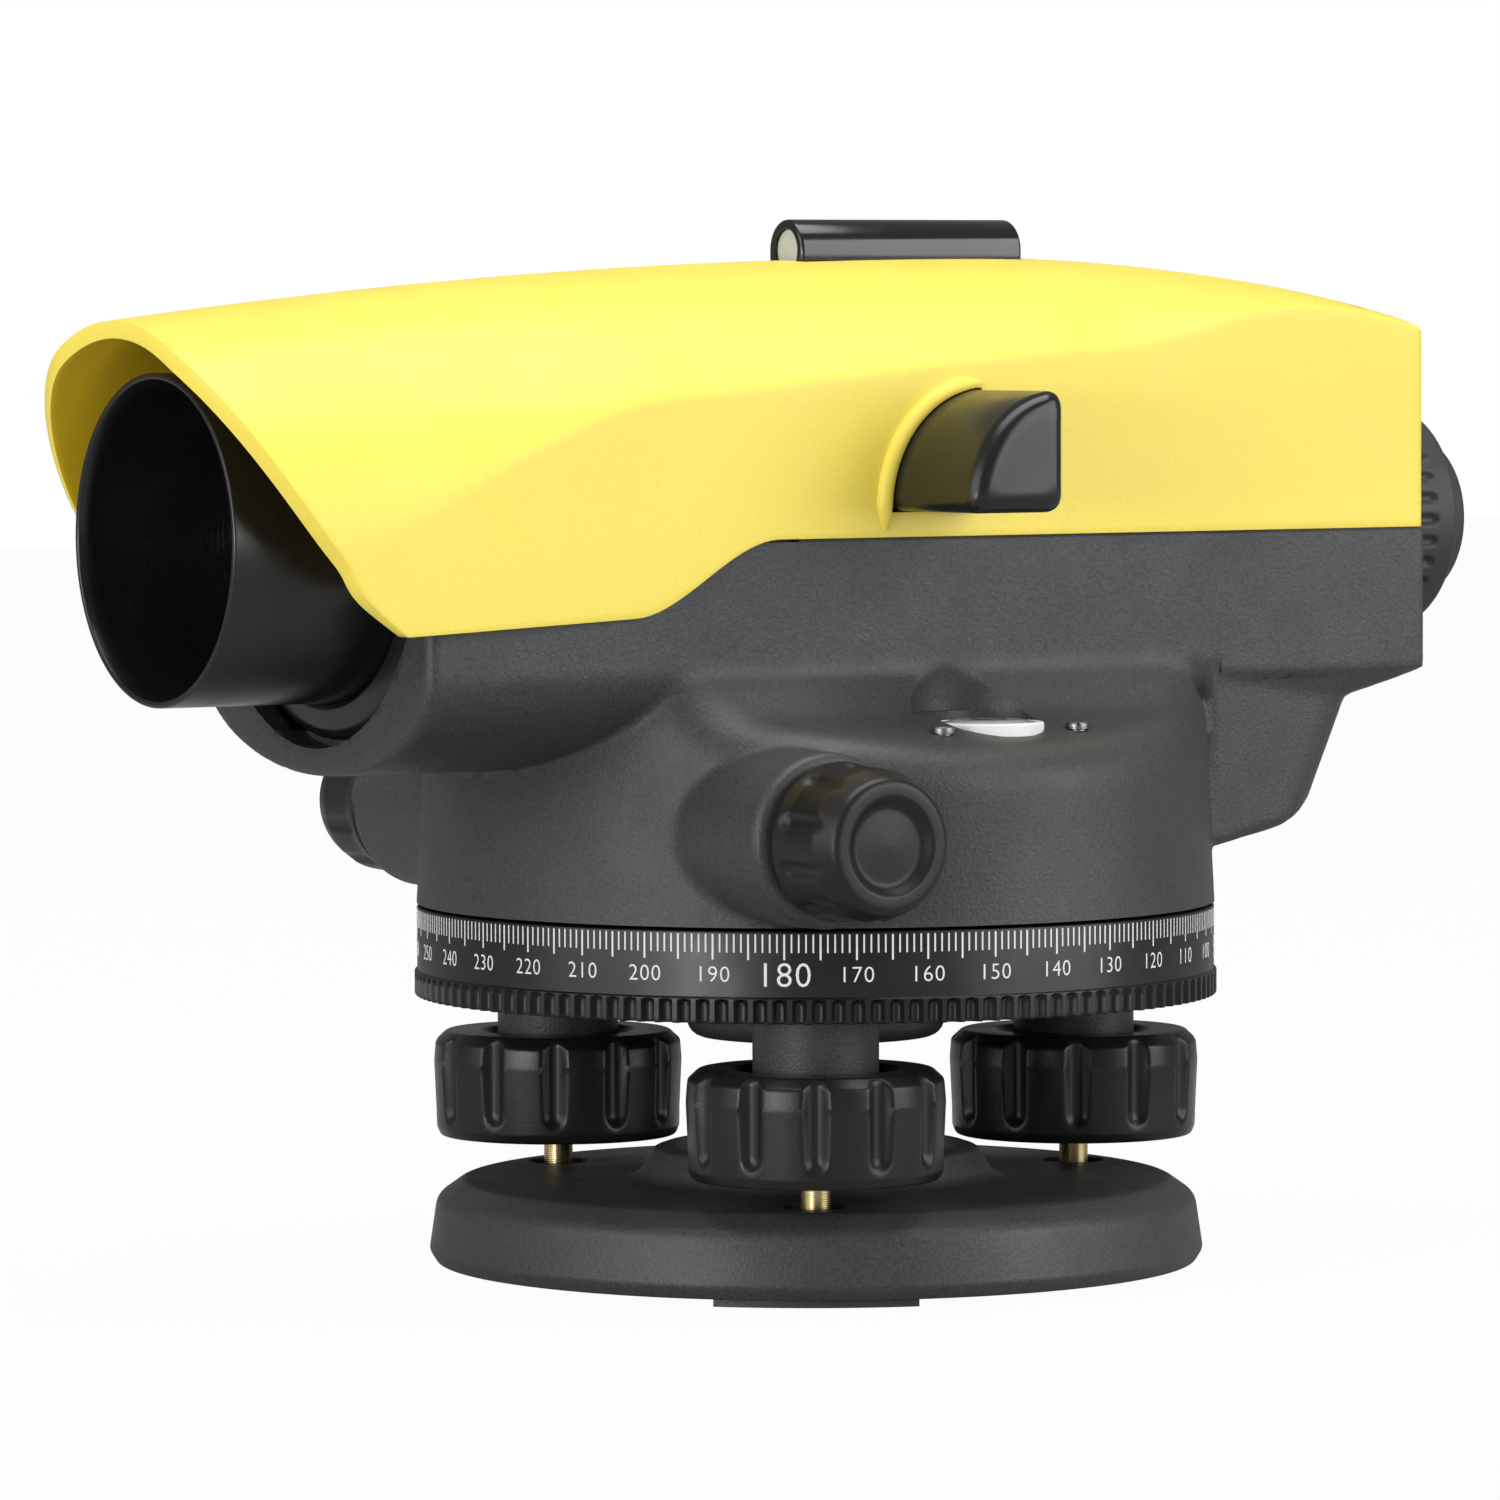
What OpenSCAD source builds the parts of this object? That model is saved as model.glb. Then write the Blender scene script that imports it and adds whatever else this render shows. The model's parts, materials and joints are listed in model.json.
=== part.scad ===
// Automatic level (surveying): levelling base, horizontal circle and telescope.
// Origin: centre of the base's contact plane, on the vertical axis. +Z up.
// +X points from the objective to the eyepiece, the circular bubble is on the -Y side.

/* [Base and levelling] */
// Radius of the base plate at its foot
base_r = 50.5; // [48:0.5:54]
// Height of the flat top of the base plate
base_top_z = 11.8; // [11:0.1:13]
// Radius of the raised middle of the base plate
base_boss_r = 21; // [18:0.5:21.5]
// Minor radius of the 5/8 inch tripod thread
tripod_thread_r = 6.8; // [6.7:0.05:6.9]
// Distance of each footscrew from the vertical axis
footscrew_r = 39.55; // [38:0.05:41]
// Bearing of the front footscrew
footscrew_angle = -122.7; // [-130:0.1:-115]
// Outer radius of a footscrew knob
knob_r = 16.5; // [15:0.1:16.6]
// Height of a footscrew knob's underside
knob_low_z = 15.4; // [15:0.1:16]
// Height of a footscrew knob's top
knob_top_z = 29.4; // [28:0.1:30]

/* [Horizontal circle] */
// Outer radius of the graduated circle
circle_r = 52; // [50:0.5:54]
// Height of the circle's lower edge
circle_low_z = 35.9; // [35.5:0.1:36.5]
// Height of the circle's upper edge
circle_top_z = 47.5; // [47:0.1:47.6]
// Number of ribs on the circle's grip band
grip_ribs = 134; // [60:2:180]

/* [Body] */
// Height of the optical axis
axis_z = 96.4; // [96.2:0.1:97]
// Height of the joint between the housing and the cover
seam_z = 96; // [95.5:0.1:96]
// Front face of the housing
nose_x = -75; // [-78:0.5:-74]
// Rear face of the body
rear_x = 77; // [76:0.5:78]
// Half the width of the housing
body_half_w = 29.4; // [28.5:0.1:29.6]
// Height of the drum's flat shoulder
shoulder_z = 71.7; // [71:0.1:72.5]
// Thickness of the cover
cover_wall = 2.2; // [1.8:0.1:2.6]

/* [Optics] */
// Outer radius of the objective tube
objective_r = 20.85; // [20:0.05:21]
// Front end of the objective tube
objective_x = -97.6; // [-99:0.1:-92]
// Travel of the focusing lens each way
focus_travel = 10; // [6:0.5:10]
// Outer radius of the eyepiece ring
eyepiece_r = 15; // [14:0.5:15.5]
// Rear end of the eyepiece
eyepiece_x = 98; // [96:0.5:100]

/* [Drives] */
// Distance of the tangent shaft in front of the vertical axis
tangent_x = -29.9; // [-31:0.1:-29]
// Height of the tangent shaft
tangent_z = 59.2; // [59:0.1:60]
// Radius of a drive knob
drive_knob_r = 10; // [9:0.1:11]
// Teeth of the worm wheel
wheel_teeth = 120; // [90:1:150]

/* [Hidden] */
$fn = 64;

// running clearance of a shaft in a bearing
run = 0.05;
// clearance between parts that pass each other
gap = 0.3;
eps = 0.01;

// colours
casting = [0.22, 0.23, 0.24];
satin_black = [0.09, 0.09, 0.1];
gloss_black = [0.04, 0.04, 0.05];
yellow = [0.98, 0.85, 0.1];
steel = [0.72, 0.73, 0.75];
brass = [0.78, 0.62, 0.32];
glass = [0.75, 0.85, 0.9, 0.4];
rubber = [0.06, 0.06, 0.06];
white = [0.85, 0.85, 0.83];

// --- shared shapes ---

function smooth(t) = let (c = max(0, min(1, t))) c * c * (3 - 2 * c);
function ramp(t) = max(0, min(1, t));

// outline with n flat-topped teeth between two radii
function toothed(r_tip, r_root, n) = [
    for (i = [0 : n - 1], k = [0 : 3])
        let (a = (i + [-0.3, -0.17, 0.17, 0.3][k]) * 360 / n)
        let (r = (k == 0 || k == 3) ? r_root : r_tip)
        [r * cos(a), r * sin(a)]
];

// cylinder along X on the optical axis
module rod_x(x0, x1, r) translate([x0, 0, axis_z]) rotate([0, 90, 0]) cylinder(h = x1 - x0, r = r);

module ring_x(x0, x1, r_out, r_in) difference() {
    rod_x(x0, x1, r_out);
    rod_x(x0 - 1, x1 + 1, r_in);
}

module tube_z(z0, z1, r_out, r_in) difference() {
    translate([0, 0, z0]) cylinder(h = z1 - z0, r = r_out);
    translate([0, 0, z0 - 1]) cylinder(h = z1 - z0 + 2, r = r_in);
}

// cylinder along Y between two distances
module rod_y(x, z, y0, y1, r) translate([x, y1, z]) rotate([90, 0, 0]) cylinder(h = y1 - y0, r = r);

module box(low, high) translate(low) cube(high - low);

// places children on one footscrew: 0 front, 1 right, 2 left
module at_footscrew(i) rotate([0, 0, footscrew_angle + 120 * i]) translate([footscrew_r, 0, 0]) children();

// --- base ---

ball_z = 6;
ball_r = 2.6;
stem_r = 1.9;
stem_hole_r = 3.75;
bush_r = 12;
pad_h = 1;
seat_r = 3.7;

module base_plate() color(casting) difference() {
    union() {
        rotate_extrude() polygon([
            [0, pad_h], [base_r - 1, pad_h], [base_r, pad_h + 1.2], [base_r - 1.2, base_top_z - 3],
            [base_r - 2.1, base_top_z - 0.9], [base_r - 4.3, base_top_z], [base_boss_r + 1.8, base_top_z],
            [base_boss_r + 0.4, base_top_z + 1.2], [base_boss_r, base_top_z + 3.3],
            [base_boss_r - 1, base_top_z + 4.3], [0, base_top_z + 4.3]
        ]);
        for (i = [0 : 2]) rotate([0, 0, footscrew_angle + 120 * i]) intersection() {
            tube_z(0, pad_h + eps, base_r - 2, base_r - 13);
            box([0, -12, 0], [base_r, 12, 2]);
        }
    }
    translate([0, 0, -1]) cylinder(h = 30, r = bush_r);
    // recess for the spring plate
    difference() {
        translate([0, 0, 0.9]) cylinder(h = 2.3, r = footscrew_r + 5.6);
        translate([0, 0, -1]) cylinder(h = 6, r = 16);
        for (i = [0 : 2]) rotate([0, 0, footscrew_angle + 60 + 120 * i])
            translate([footscrew_r + 6, 0, -1]) cylinder(h = 8, r = 18);
    }
    for (i = [0 : 2]) at_footscrew(i) {
        translate([0, 0, -1]) cylinder(h = 5.3, r = 5);
        translate([0, 0, 4]) cylinder(h = 30, r = stem_hole_r);
    }
    for (i = [0 : 2]) rotate([0, 0, footscrew_angle + 120 * i]) translate([21, 0, 0])
        cylinder(h = 9, r = 1.5);
}

module tripod_bush() color(brass) difference() {
    cylinder(h = 15, r = bush_r);
    translate([0, 0, -1]) cylinder(h = 18, r = tripod_thread_r);
}

// three-armed leaf that holds the footscrew tips down
module spring_plate() color(steel) difference() {
    union() {
        translate([0, 0, 1.6]) cylinder(h = 1.2, r = 25);
        for (i = [0 : 2]) rotate([0, 0, footscrew_angle + 120 * i])
            box([15, -4.5, 1.6], [footscrew_r, 4.5, 2.8]);
        for (i = [0 : 2]) at_footscrew(i) translate([0, 0, 1.6]) cylinder(h = 1.2, r = 4.5);
    }
    translate([0, 0, -1]) cylinder(h = 6, r = 16.5);
    for (i = [0 : 2]) rotate([0, 0, footscrew_angle + 120 * i]) translate([21, 0, -1])
        cylinder(h = 9, r = 1.6);
    for (i = [0 : 2]) rotate([0, 0, footscrew_angle + 60 + 120 * i])
        translate([footscrew_r + 6, 0, -1]) cylinder(h = 8, r = 18.5);
}

module spring_plate_screws() color(steel)
    for (i = [0 : 2]) rotate([0, 0, footscrew_angle + 120 * i]) translate([21, 0, 0]) {
        translate([0, 0, 1.1]) cylinder(h = 7.5, r = 1.5);
        translate([0, 0, 1.1]) cylinder(h = 0.5, r = 2.6);
    }

module swivel_foot() color(brass) difference() {
    translate([0, 0, 3]) cylinder(h = 4.4, r = seat_r - 0.1);
    translate([0, 0, ball_z]) sphere(r = ball_r + 0.2);
}

module swivel_foot_front() at_footscrew(0) swivel_foot();

module swivel_feet_rear() for (i = [1, 2]) at_footscrew(i) swivel_foot();

// --- levelling head ---

hub_r = 16.8;
hub_low_z = 30.2;
flange_low_z = 36.6;
flange_top_z = 43.9;
flange_r = 48;
spigot_r = 40;
boss_r = 14;
boss_top_z = 63;
axis_bush_r = 11;
axis_r = 8;
sleeve_r = 8;
sleeve_low_z = 27.6;
screw_r = 3;
screw_bush_r = 5.5;

module tribrach() color(casting) difference() {
    union() {
        rotate_extrude() polygon([
            [0, hub_low_z], [hub_r - 1.5, hub_low_z], [hub_r, hub_low_z + 1.5], [hub_r, flange_low_z],
            [flange_r - 1, flange_low_z], [flange_r, flange_low_z + 1], [flange_r, flange_top_z],
            [spigot_r, flange_top_z], [spigot_r, flange_top_z + 2.4], [boss_r, flange_top_z + 2.4],
            [boss_r, boss_top_z], [0, boss_top_z]
        ]);
        for (i = [0 : 2]) at_footscrew(i)
            translate([0, 0, sleeve_low_z]) cylinder(h = flange_low_z - sleeve_low_z + 1, r = sleeve_r);
    }
    translate([0, 0, hub_low_z + 2]) cylinder(h = 40, r = axis_bush_r);
    for (i = [0 : 2]) at_footscrew(i) translate([0, 0, sleeve_low_z - 1]) cylinder(h = 15, r = screw_bush_r);
}

module axis_bush() color(brass) tube_z(hub_low_z + 2, boss_top_z, axis_bush_r, axis_r + run);

module footscrew_bushes() color(brass)
    for (i = [0 : 2]) at_footscrew(i) tube_z(sleeve_low_z, sleeve_low_z + 14, screw_bush_r, screw_r + run);

// --- footscrews ---

module stem() color(brass) {
    translate([0, 0, ball_z]) sphere(r = ball_r);
    translate([0, 0, ball_z]) cylinder(h = knob_low_z - ball_z + 6, r = stem_r);
}

knob_flutes = 12;
flute_r = 1.7;

module footscrew_knob() color(gloss_black) difference() {
    rotate_extrude() polygon([
        [stem_r + run, knob_low_z], [knob_r - 1.2, knob_low_z], [knob_r - 0.3, knob_low_z + 1],
        [knob_r, knob_top_z - 5], [knob_r - 0.7, knob_top_z - 2.6], [knob_r - 3.6, knob_top_z],
        [sleeve_r + 1, knob_top_z], [sleeve_r + 1, knob_top_z - 5.4], [screw_r, knob_top_z - 5.4],
        [screw_r, knob_low_z + 6.2], [stem_r + run, knob_low_z + 6.2]
    ]);
    for (i = [0 : knob_flutes - 1]) rotate([0, 0, i * 360 / knob_flutes])
        translate([knob_r + 0.5, 0, knob_low_z + 4]) {
            cylinder(h = 14, r = flute_r);
            sphere(r = flute_r);
        }
}

module footscrew() color(steel)
    translate([0, 0, knob_low_z + 6.2]) cylinder(h = 17, r = screw_r);

module stem_front() at_footscrew(0) stem();
module stem_right() at_footscrew(1) stem();
module stem_left() at_footscrew(2) stem();
module footscrew_knob_front() at_footscrew(0) footscrew_knob();
module footscrew_knob_right() at_footscrew(1) footscrew_knob();
module footscrew_knob_left() at_footscrew(2) footscrew_knob();
module footscrew_front() at_footscrew(0) footscrew();
module footscrew_right() at_footscrew(1) footscrew();
module footscrew_left() at_footscrew(2) footscrew();

// --- horizontal circle ---

grip_h = 3.2;
circle_skirt = 3;

module horizontal_circle() color(satin_black) difference() {
    union() {
        tube_z(circle_low_z + 0.4, circle_top_z, circle_r, circle_r - circle_skirt);
        tube_z(flange_top_z + gap, flange_top_z + gap + 2, circle_r - 1, spigot_r + run);
        translate([0, 0, circle_low_z]) linear_extrude(height = grip_h)
            polygon(toothed(circle_r + 0.3, circle_r - 0.6, grip_ribs));
    }
    translate([0, 0, circle_low_z - 1])
        cylinder(h = flange_top_z + gap - circle_low_z + 1, r = circle_r - circle_skirt);
}

// --- worm wheel and clutch ---

worm_r = 4.3;
wheel_r = -tangent_x - worm_r - 0.06;
wheel_half = 2.4;

module worm_wheel() color(brass) difference() {
    union() {
        translate([0, 0, tangent_z - wheel_half]) linear_extrude(height = 2 * wheel_half)
            polygon(toothed(wheel_r, wheel_r - 0.9, wheel_teeth));
        translate([0, 0, tangent_z - wheel_half - 4]) cylinder(h = 4 + eps, r = boss_r + 3);
    }
    translate([0, 0, 40]) cylinder(h = 40, r = boss_r + run);
}

module clutch_spring() color(steel)
    tube_z(tangent_z - wheel_half - 5, tangent_z - wheel_half - 4, boss_r + 3, boss_r + run);

// --- housing ---

drum_low_z = 47.9;
drum_wall = 3.4;
drum_in_r = circle_r - drum_wall;
deck_low_z = 67.5;
belly_z = 80;
belly_depth = 13.6;
sleeve_y = 50.5;
tangent_sleeve_r = 11;
nose_hole_r = 26.5;
focus_x = 10;
focus_z = 89.5;
focus_knob_r = 15;
focus_knob_y = body_half_w + 2;
floor_z = shoulder_z;
rebate_y = 27.9;
skirt_rise_x = -23;

// cross-section of the telescope part: straight walls on a half-ellipse belly
function belly(w, depth, n) = [
    for (i = [0 : n]) let (a = 180 + 180 * i / n) [w * cos(a), belly_z + depth * sin(a)]
];

module body_section(w, depth, top)
    polygon(concat(belly(w, depth, 28), [[w, top], [-w, top]]));

// extrudes a section drawn in Y and Z along X
module along_x(x0, x1) translate([x0, 0, 0]) rotate([90, 0, 90]) linear_extrude(height = x1 - x0) children();

// extrudes a profile drawn in X and Z along Y
module along_y(y0, y1) translate([0, y1, 0]) rotate([90, 0, 0]) linear_extrude(height = y1 - y0) children();

module rear_block() intersection() {
    along_y(-body_half_w, body_half_w) polygon([
        [20, 53.5], [44, 54.8], [57.5, 57.4], [60.5, 58.6], [62, 60.6], [69, 74.4], [rear_x, 77.2],
        [rear_x, 82], [20, 82]
    ]);
    linear_extrude(height = 100) polygon([
        [10, -body_half_w], [42, -body_half_w], [70, -26.4], [rear_x, -26.2],
        [rear_x, 26.2], [70, 26.4], [42, body_half_w], [10, body_half_w]
    ]);
}

// under the line that rises from the rear block to the eyepiece end, lifted by m
module rear_underside(m) along_y(-40, 40) polygon([
    [59.5, 40], [rear_x + 1, 40], [rear_x + 1, 77.3 + m], [66, 73.6 + m], [59.5, 71.5 + m]
]);

// square lower corners of the telescope part over and behind the rear block
module rear_overhang() along_y(-body_half_w, body_half_w) polygon([
    [41, 79], [41, 77.3], [rear_x, 77.3], [rear_x, 90], [41, 90]
]);

// height of the shelf beside the telescope part, at a distance from its middle plane
function shelf_z(side) = 72.8 + 0.26 * (37 - side) + 4.4 * pow(max(37.5 - side, 0) / 8.1, 2.6);

module drum() {
    rotate_extrude() polygon([
        [0, drum_low_z], [circle_r, drum_low_z], [circle_r - 0.9, shoulder_z - 6.7],
        [circle_r - 1.6, shoulder_z - 4], [circle_r - 3.2, shoulder_z - 2.2],
        [circle_r - 6.5, shoulder_z - 1.1], [circle_r - 11, shoulder_z], [0, shoulder_z]
    ]);
    intersection() {
        translate([0, 0, drum_low_z]) cylinder(h = 60, r = circle_r - 4.5);
        for (s = [-1, 1]) along_x(-45, 41) polygon(concat(
            [for (side = [body_half_w - 1, 30.5, 32, 33.5, 35, 37, 40, 43, 46]) [s * side, shelf_z(side)]],
            [[s * 46, shoulder_z - 3], [s * (body_half_w - 1), shoulder_z - 3]]
        ));
    }
}

vial_x = 2.5;
vial_y = -37;
vial_r = 6.2;
vial_cup_r = 7;
vial_pocket_r = 8;
vial_top_z = 72.9;
vial_screw_z = 72.4;
vial_screw_r = 1.1;
vial_head_z = vial_screw_z - 0.7;
vial_head_r = 1.5;

module lower_housing() color(casting) difference() {
    union() {
        difference() {
            along_x(nose_x, rear_x) body_section(body_half_w, belly_depth, seam_z - 0.4);
            rear_underside(0);
        }
        rear_block();
        rear_overhang();
        drum();
        for (s = [-1, 1])
            rod_y(tangent_x, tangent_z, s > 0 ? 30 : -sleeve_y, s > 0 ? sleeve_y : -30, tangent_sleeve_r);
        rod_x(nose_x, nose_x + 3, nose_hole_r + 1.4);
    }
    // rebate under the skirt of the cover
    for (s = [-1, 1]) along_y(s > 0 ? rebate_y : -40, s > 0 ? 40 : -rebate_y) polygon(concat(
        [for (x = [nose_x - 1 : 3 : skirt_rise_x]) [x, cover_low(x) - 0.3]],
        [[skirt_rise_x + 1, seam_z + 1], [nose_x - 1, seam_z + 1]]
    ));
    // telescope cavity over the deck
    difference() {
        along_x(nose_x + 3, rear_x - 3) body_section(body_half_w - 3, belly_depth - 1, seam_z + 40);
        box([-100, -40, 40], [100, 40, floor_z]);
        rear_underside(2.6);
        // saddles of the telescope barrel
        for (x = [-58, -6]) difference() {
            box([x, -12, 60], [x + 4, 12, 84]);
            rod_x(x - 1, x + 5, barrel_r);
        }
    }
    // drum cavity
    difference() {
        translate([0, 0, 40]) cylinder(h = deck_low_z - 40, r = drum_in_r);
        box([33, -30, 40], [70, 30, 61]);
    }
    // compensator pocket
    box([36, -20, 61], [57, 20, 75]);
    rod_x(nose_x - 1, nose_x + 4, nose_hole_r);
    rod_x(rear_x - 4, rear_x + 1, seat_tube_r);
    // tangent shaft bores
    rod_y(tangent_x, tangent_z, -sleeve_y - 1, sleeve_y + 1, 5);
    // focusing shaft bore, and room for the focusing knob above the shelf
    rod_y(focus_x, focus_z, 20, body_half_w + 1, 4);
    rod_y(focus_x, focus_z, focus_knob_y - 2 * gap, body_half_w + 20, focus_knob_r + 2 * gap);
    // bubble pocket, cut up into the belly
    translate([vial_x, vial_y, deck_low_z - 1]) cylinder(h = 79.4 - deck_low_z + 1, r = vial_pocket_r);
    for (p = vial_screw_places) translate([p.x, p.y, 60]) {
        cylinder(h = 20, r = vial_screw_r);
        translate([0, 0, vial_head_z - 60]) cylinder(h = 6, r = vial_head_r + gap);
    }
    // axis flange screws
    for (a = [45 : 90 : 315]) rotate([0, 0, a]) translate([14, 0, deck_low_z - 2]) cylinder(h = 5.5, r = 1.5);
}

module cover_gasket() color(rubber) difference() {
    union() {
        box([nose_x + 1, -rebate_y, seam_z - 0.4], [skirt_rise_x + 3, rebate_y, seam_z]);
        box([skirt_rise_x + 2, -body_half_w + 0.3, seam_z - 0.4], [rear_x - 0.4, body_half_w - 0.3, seam_z]);
    }
    box([nose_x + 3, -rebate_y + 1.3, seam_z - 1], [rear_x - 2.6, rebate_y - 1.3, seam_z + 1]);
    rod_x(nose_x - 1, nose_x + 4, nose_hole_r + 1.4);
    rod_x(rear_x - 4, rear_x + 1, seat_tube_r);
}

axis_flange_r = 18;
axis_flange_z = deck_low_z - 3.2;

module vertical_axis() color(steel) {
    translate([0, 0, hub_low_z + 3]) cylinder(h = deck_low_z - hub_low_z - 3, r = axis_r);
    difference() {
        translate([0, 0, axis_flange_z]) cylinder(h = deck_low_z - axis_flange_z, r = axis_flange_r);
        for (a = [45 : 90 : 315]) rotate([0, 0, a]) translate([14, 0, 60]) cylinder(h = 12, r = 1.6);
    }
}

module axis_flange_screws() color(steel)
    for (a = [45 : 90 : 315]) rotate([0, 0, a]) translate([14, 0, 0]) {
        translate([0, 0, axis_flange_z - 0.8]) cylinder(h = 7, r = 1.5);
        translate([0, 0, axis_flange_z - 0.8]) cylinder(h = 0.8, r = 2.5);
    }

module worm_bushes() color(brass)
    for (s = [-1, 1]) difference() {
        rod_y(tangent_x, tangent_z, s > 0 ? sleeve_y - 9 : -sleeve_y, s > 0 ? sleeve_y : 9 - sleeve_y, 5);
        rod_y(tangent_x, tangent_z, -60, 60, worm_shaft_r + run);
    }

module focus_bush() color(brass) difference() {
    rod_y(focus_x, focus_z, body_half_w - 5, body_half_w, 4);
    rod_y(focus_x, focus_z, 20, 40, focus_shaft_r + run);
}

// --- top cover ---

hood_x = -103;
hood_low_z = 85;
hood_r = 32.3;
hood_centre_z = 91.7;
crown_z = 131.6;
crown_x = 22;
skirt_end_x = -46.5;
skirt_run = 22;

// lower edge, crown, shoulder and half-width of the cover at x
function cover_low(x) =
    hood_low_z + 1.5 * ramp((x + 79) / 33) + (seam_z - hood_low_z - 1.5) * smooth((x - skirt_end_x) / skirt_run);
function cover_crown(x) = x < crown_x ? crown_z - 6.9 * pow((crown_x - x) / 125, 2)
    : crown_z - 6 * pow((x - crown_x) / 55, 2.2);
function cover_shoulder(x) =
    let (side = hood_centre_z + 22.3 * smooth((x + 103) / 66) + 5.6 * ramp((x + 37) / 57))
    side + (cover_crown(x) - 3.6 - side) * smooth((x - 14) / 36);
function cover_half_w(x) = hood_r - 1.9 * smooth((x + 95) / 65) - 0.8 * ramp(x / 77);
function cover_round(x) = 1 + 0.8 * smooth((x + 100) / 63);
// front rim of the hood, raked back towards its lower corners
function hood_rake(z) = 17.9 * pow(ramp((116 - z) / 31), 1.1) + 6 * pow(ramp((88.5 - z) / 3.7), 4);

// point on the section at x, u from -1 at one lower edge to 1 at the other
function cover_yz(x, u, t) = let (w = cover_half_w(x) - t)
    let (sh = cover_shoulder(x) - t / 2)
    let (rise = cover_crown(x) - t - sh)
    let (v = abs(u) / 0.72)
    v <= 1 ? [w * sin(90 * v) * sign(u), sh + rise * pow(cos(90 * v), cover_round(x))]
    : [w * sign(u), sh + (cover_low(x) - sh) * (v - 1) / (1 / 0.72 - 1)];

// the hood's stations are raked, fading out behind it
function cover_point(xs, u, t) = let (z0 = cover_yz(xs, u, 0)[1])
    let (x = xs + hood_rake(z0) * (1 - ramp((xs - hood_x) / 53)))
    let (p = cover_yz(x, u, t))
    [min(x, t > 0 ? rear_x - cover_wall : rear_x), p[0], p[1]];

cover_rows = 36;
cover_cols = 26;

module cover_shell() {
    cols = cover_cols + 1;
    pts = [
        for (t = [0, cover_wall], i = [0 : cover_rows], j = [0 : cover_cols])
            cover_point(hood_x + (rear_x - hood_x) * i / cover_rows, 2 * j / cover_cols - 1, t)
    ];
    inner = (cover_rows + 1) * cols;
    last = cover_rows * cols;
    polyhedron(points = pts, convexity = 6, faces = concat(
        [for (i = [0 : cover_rows - 1], j = [0 : cover_cols - 1]) let (a = i * cols + j)
            each [[a, a + 1, a + cols + 1], [a, a + cols + 1, a + cols]]],
        [for (i = [0 : cover_rows - 1], j = [0 : cover_cols - 1]) let (a = inner + i * cols + j)
            each [[a + 1, a, a + cols], [a + 1, a + cols, a + cols + 1]]],
        [for (j = [0 : cover_cols - 1]) each [[j + 1, j, inner + j], [j + 1, inner + j, inner + j + 1]]],
        [for (i = [0 : cover_rows - 1]) let (a = i * cols)
            each [[a, a + cols, inner + a + cols], [a, inner + a + cols, inner + a]]],
        [for (i = [0 : cover_rows - 1]) let (a = i * cols + cover_cols)
            each [[a + cols, a, inner + a], [a + cols, inner + a, inner + a + cols]]],
        [[for (j = [0 : cover_cols]) last + j]],
        [[for (j = [cover_cols : -1 : 0]) inner + last + j]],
        [[last + cover_cols, inner + last + cover_cols, inner + last, last]]
    ));
}

cover_screw_x = 69;
cover_screw_y = 22.5;

module top_cover() color(yellow) difference() {
    cover_shell();
    // way through for the prism housing
    along_y(-40, -20) prism_outline(0.15);
    // seat of the sight
    box([sight_x0 - 0.1, -sight_half_w - 0.1, sight_low_z], [sight_x1 + 0.1, sight_half_w + 0.1, 150]);
    rod_x(rear_x - 4, rear_x + 1, seat_tube_r);
    for (s = [-1, 1]) translate([cover_screw_x, s * cover_screw_y, 100]) cylinder(h = 40, r = 2.2);
}

module cover_screws() color(steel)
    for (s = [-1, 1]) translate([cover_screw_x, s * cover_screw_y, 0]) {
        translate([0, 0, 99]) cylinder(h = 23, r = 1.5);
        translate([0, 0, 120.6]) cylinder(h = 1.6, r = 2.2);
    }

// --- objective ---

objective_wall = 1.25;
barrel_r = 16;
barrel_bore_r = 14.05;

module objective_tube() color(gloss_black) ring_x(objective_x, -64, objective_r, objective_r - objective_wall);

module nose_ring() color(satin_black) difference() {
    union() {
        ring_x(-73.5, -66, 24.6, objective_r);
        ring_x(-66, -64, 24, 16.5);
    }
    rod_x(-66.5, -63.9, objective_r);
}

module objective_cell() color(satin_black) ring_x(-74, -65, objective_r - objective_wall, 17.8);

// biconvex lens on the optical axis between two x positions
module lens(x0, x1, r, bulge) translate([x0, 0, axis_z]) rotate([0, 90, 0]) rotate_extrude() polygon(concat(
    [for (i = [0 : 8]) let (v = i / 8) [r * v, bulge * v * v]],
    [for (i = [8 : -1 : 0]) let (v = i / 8) [r * v, x1 - x0 - bulge * v * v]]
));

module objective_lens() color(glass) lens(-72.5, -66, 17.8, 2.2);

module telescope_barrel() color(satin_black) difference() {
    ring_x(-58, -2, barrel_r, barrel_bore_r);
    // slot for the focusing rack
    box([-52, 5, axis_z - 4.2], [6, 25, axis_z + 4.2]);
}

// --- reticle and eyepiece seat ---

seat_tube_r = 9.2;
eyepiece_barrel_r = 7;

module reticle_cell() color(satin_black) ring_x(62, 66, 10, 6);

module reticle() color(glass) rod_x(63.5, 65, 6);

module reticle_screws() color(steel)
    for (a = [45 : 90 : 315]) translate([64, 0, axis_z]) rotate([a, 0, 0]) translate([0, 0, 10])
        cylinder(h = 5, r = 1);

module eyepiece_seat() color(satin_black) difference() {
    union() {
        rod_x(61.5, 71, 15);
        rod_x(70, 84, seat_tube_r - 0.2);
    }
    rod_x(61, 67.5, 13);
    rod_x(60, 90, eyepiece_barrel_r + run);
    for (a = [45 : 90 : 315]) translate([64, 0, axis_z]) rotate([a, 0, 0]) cylinder(h = 20, r = 1);
}

// --- compensator ---

swing_x = 47;

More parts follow.
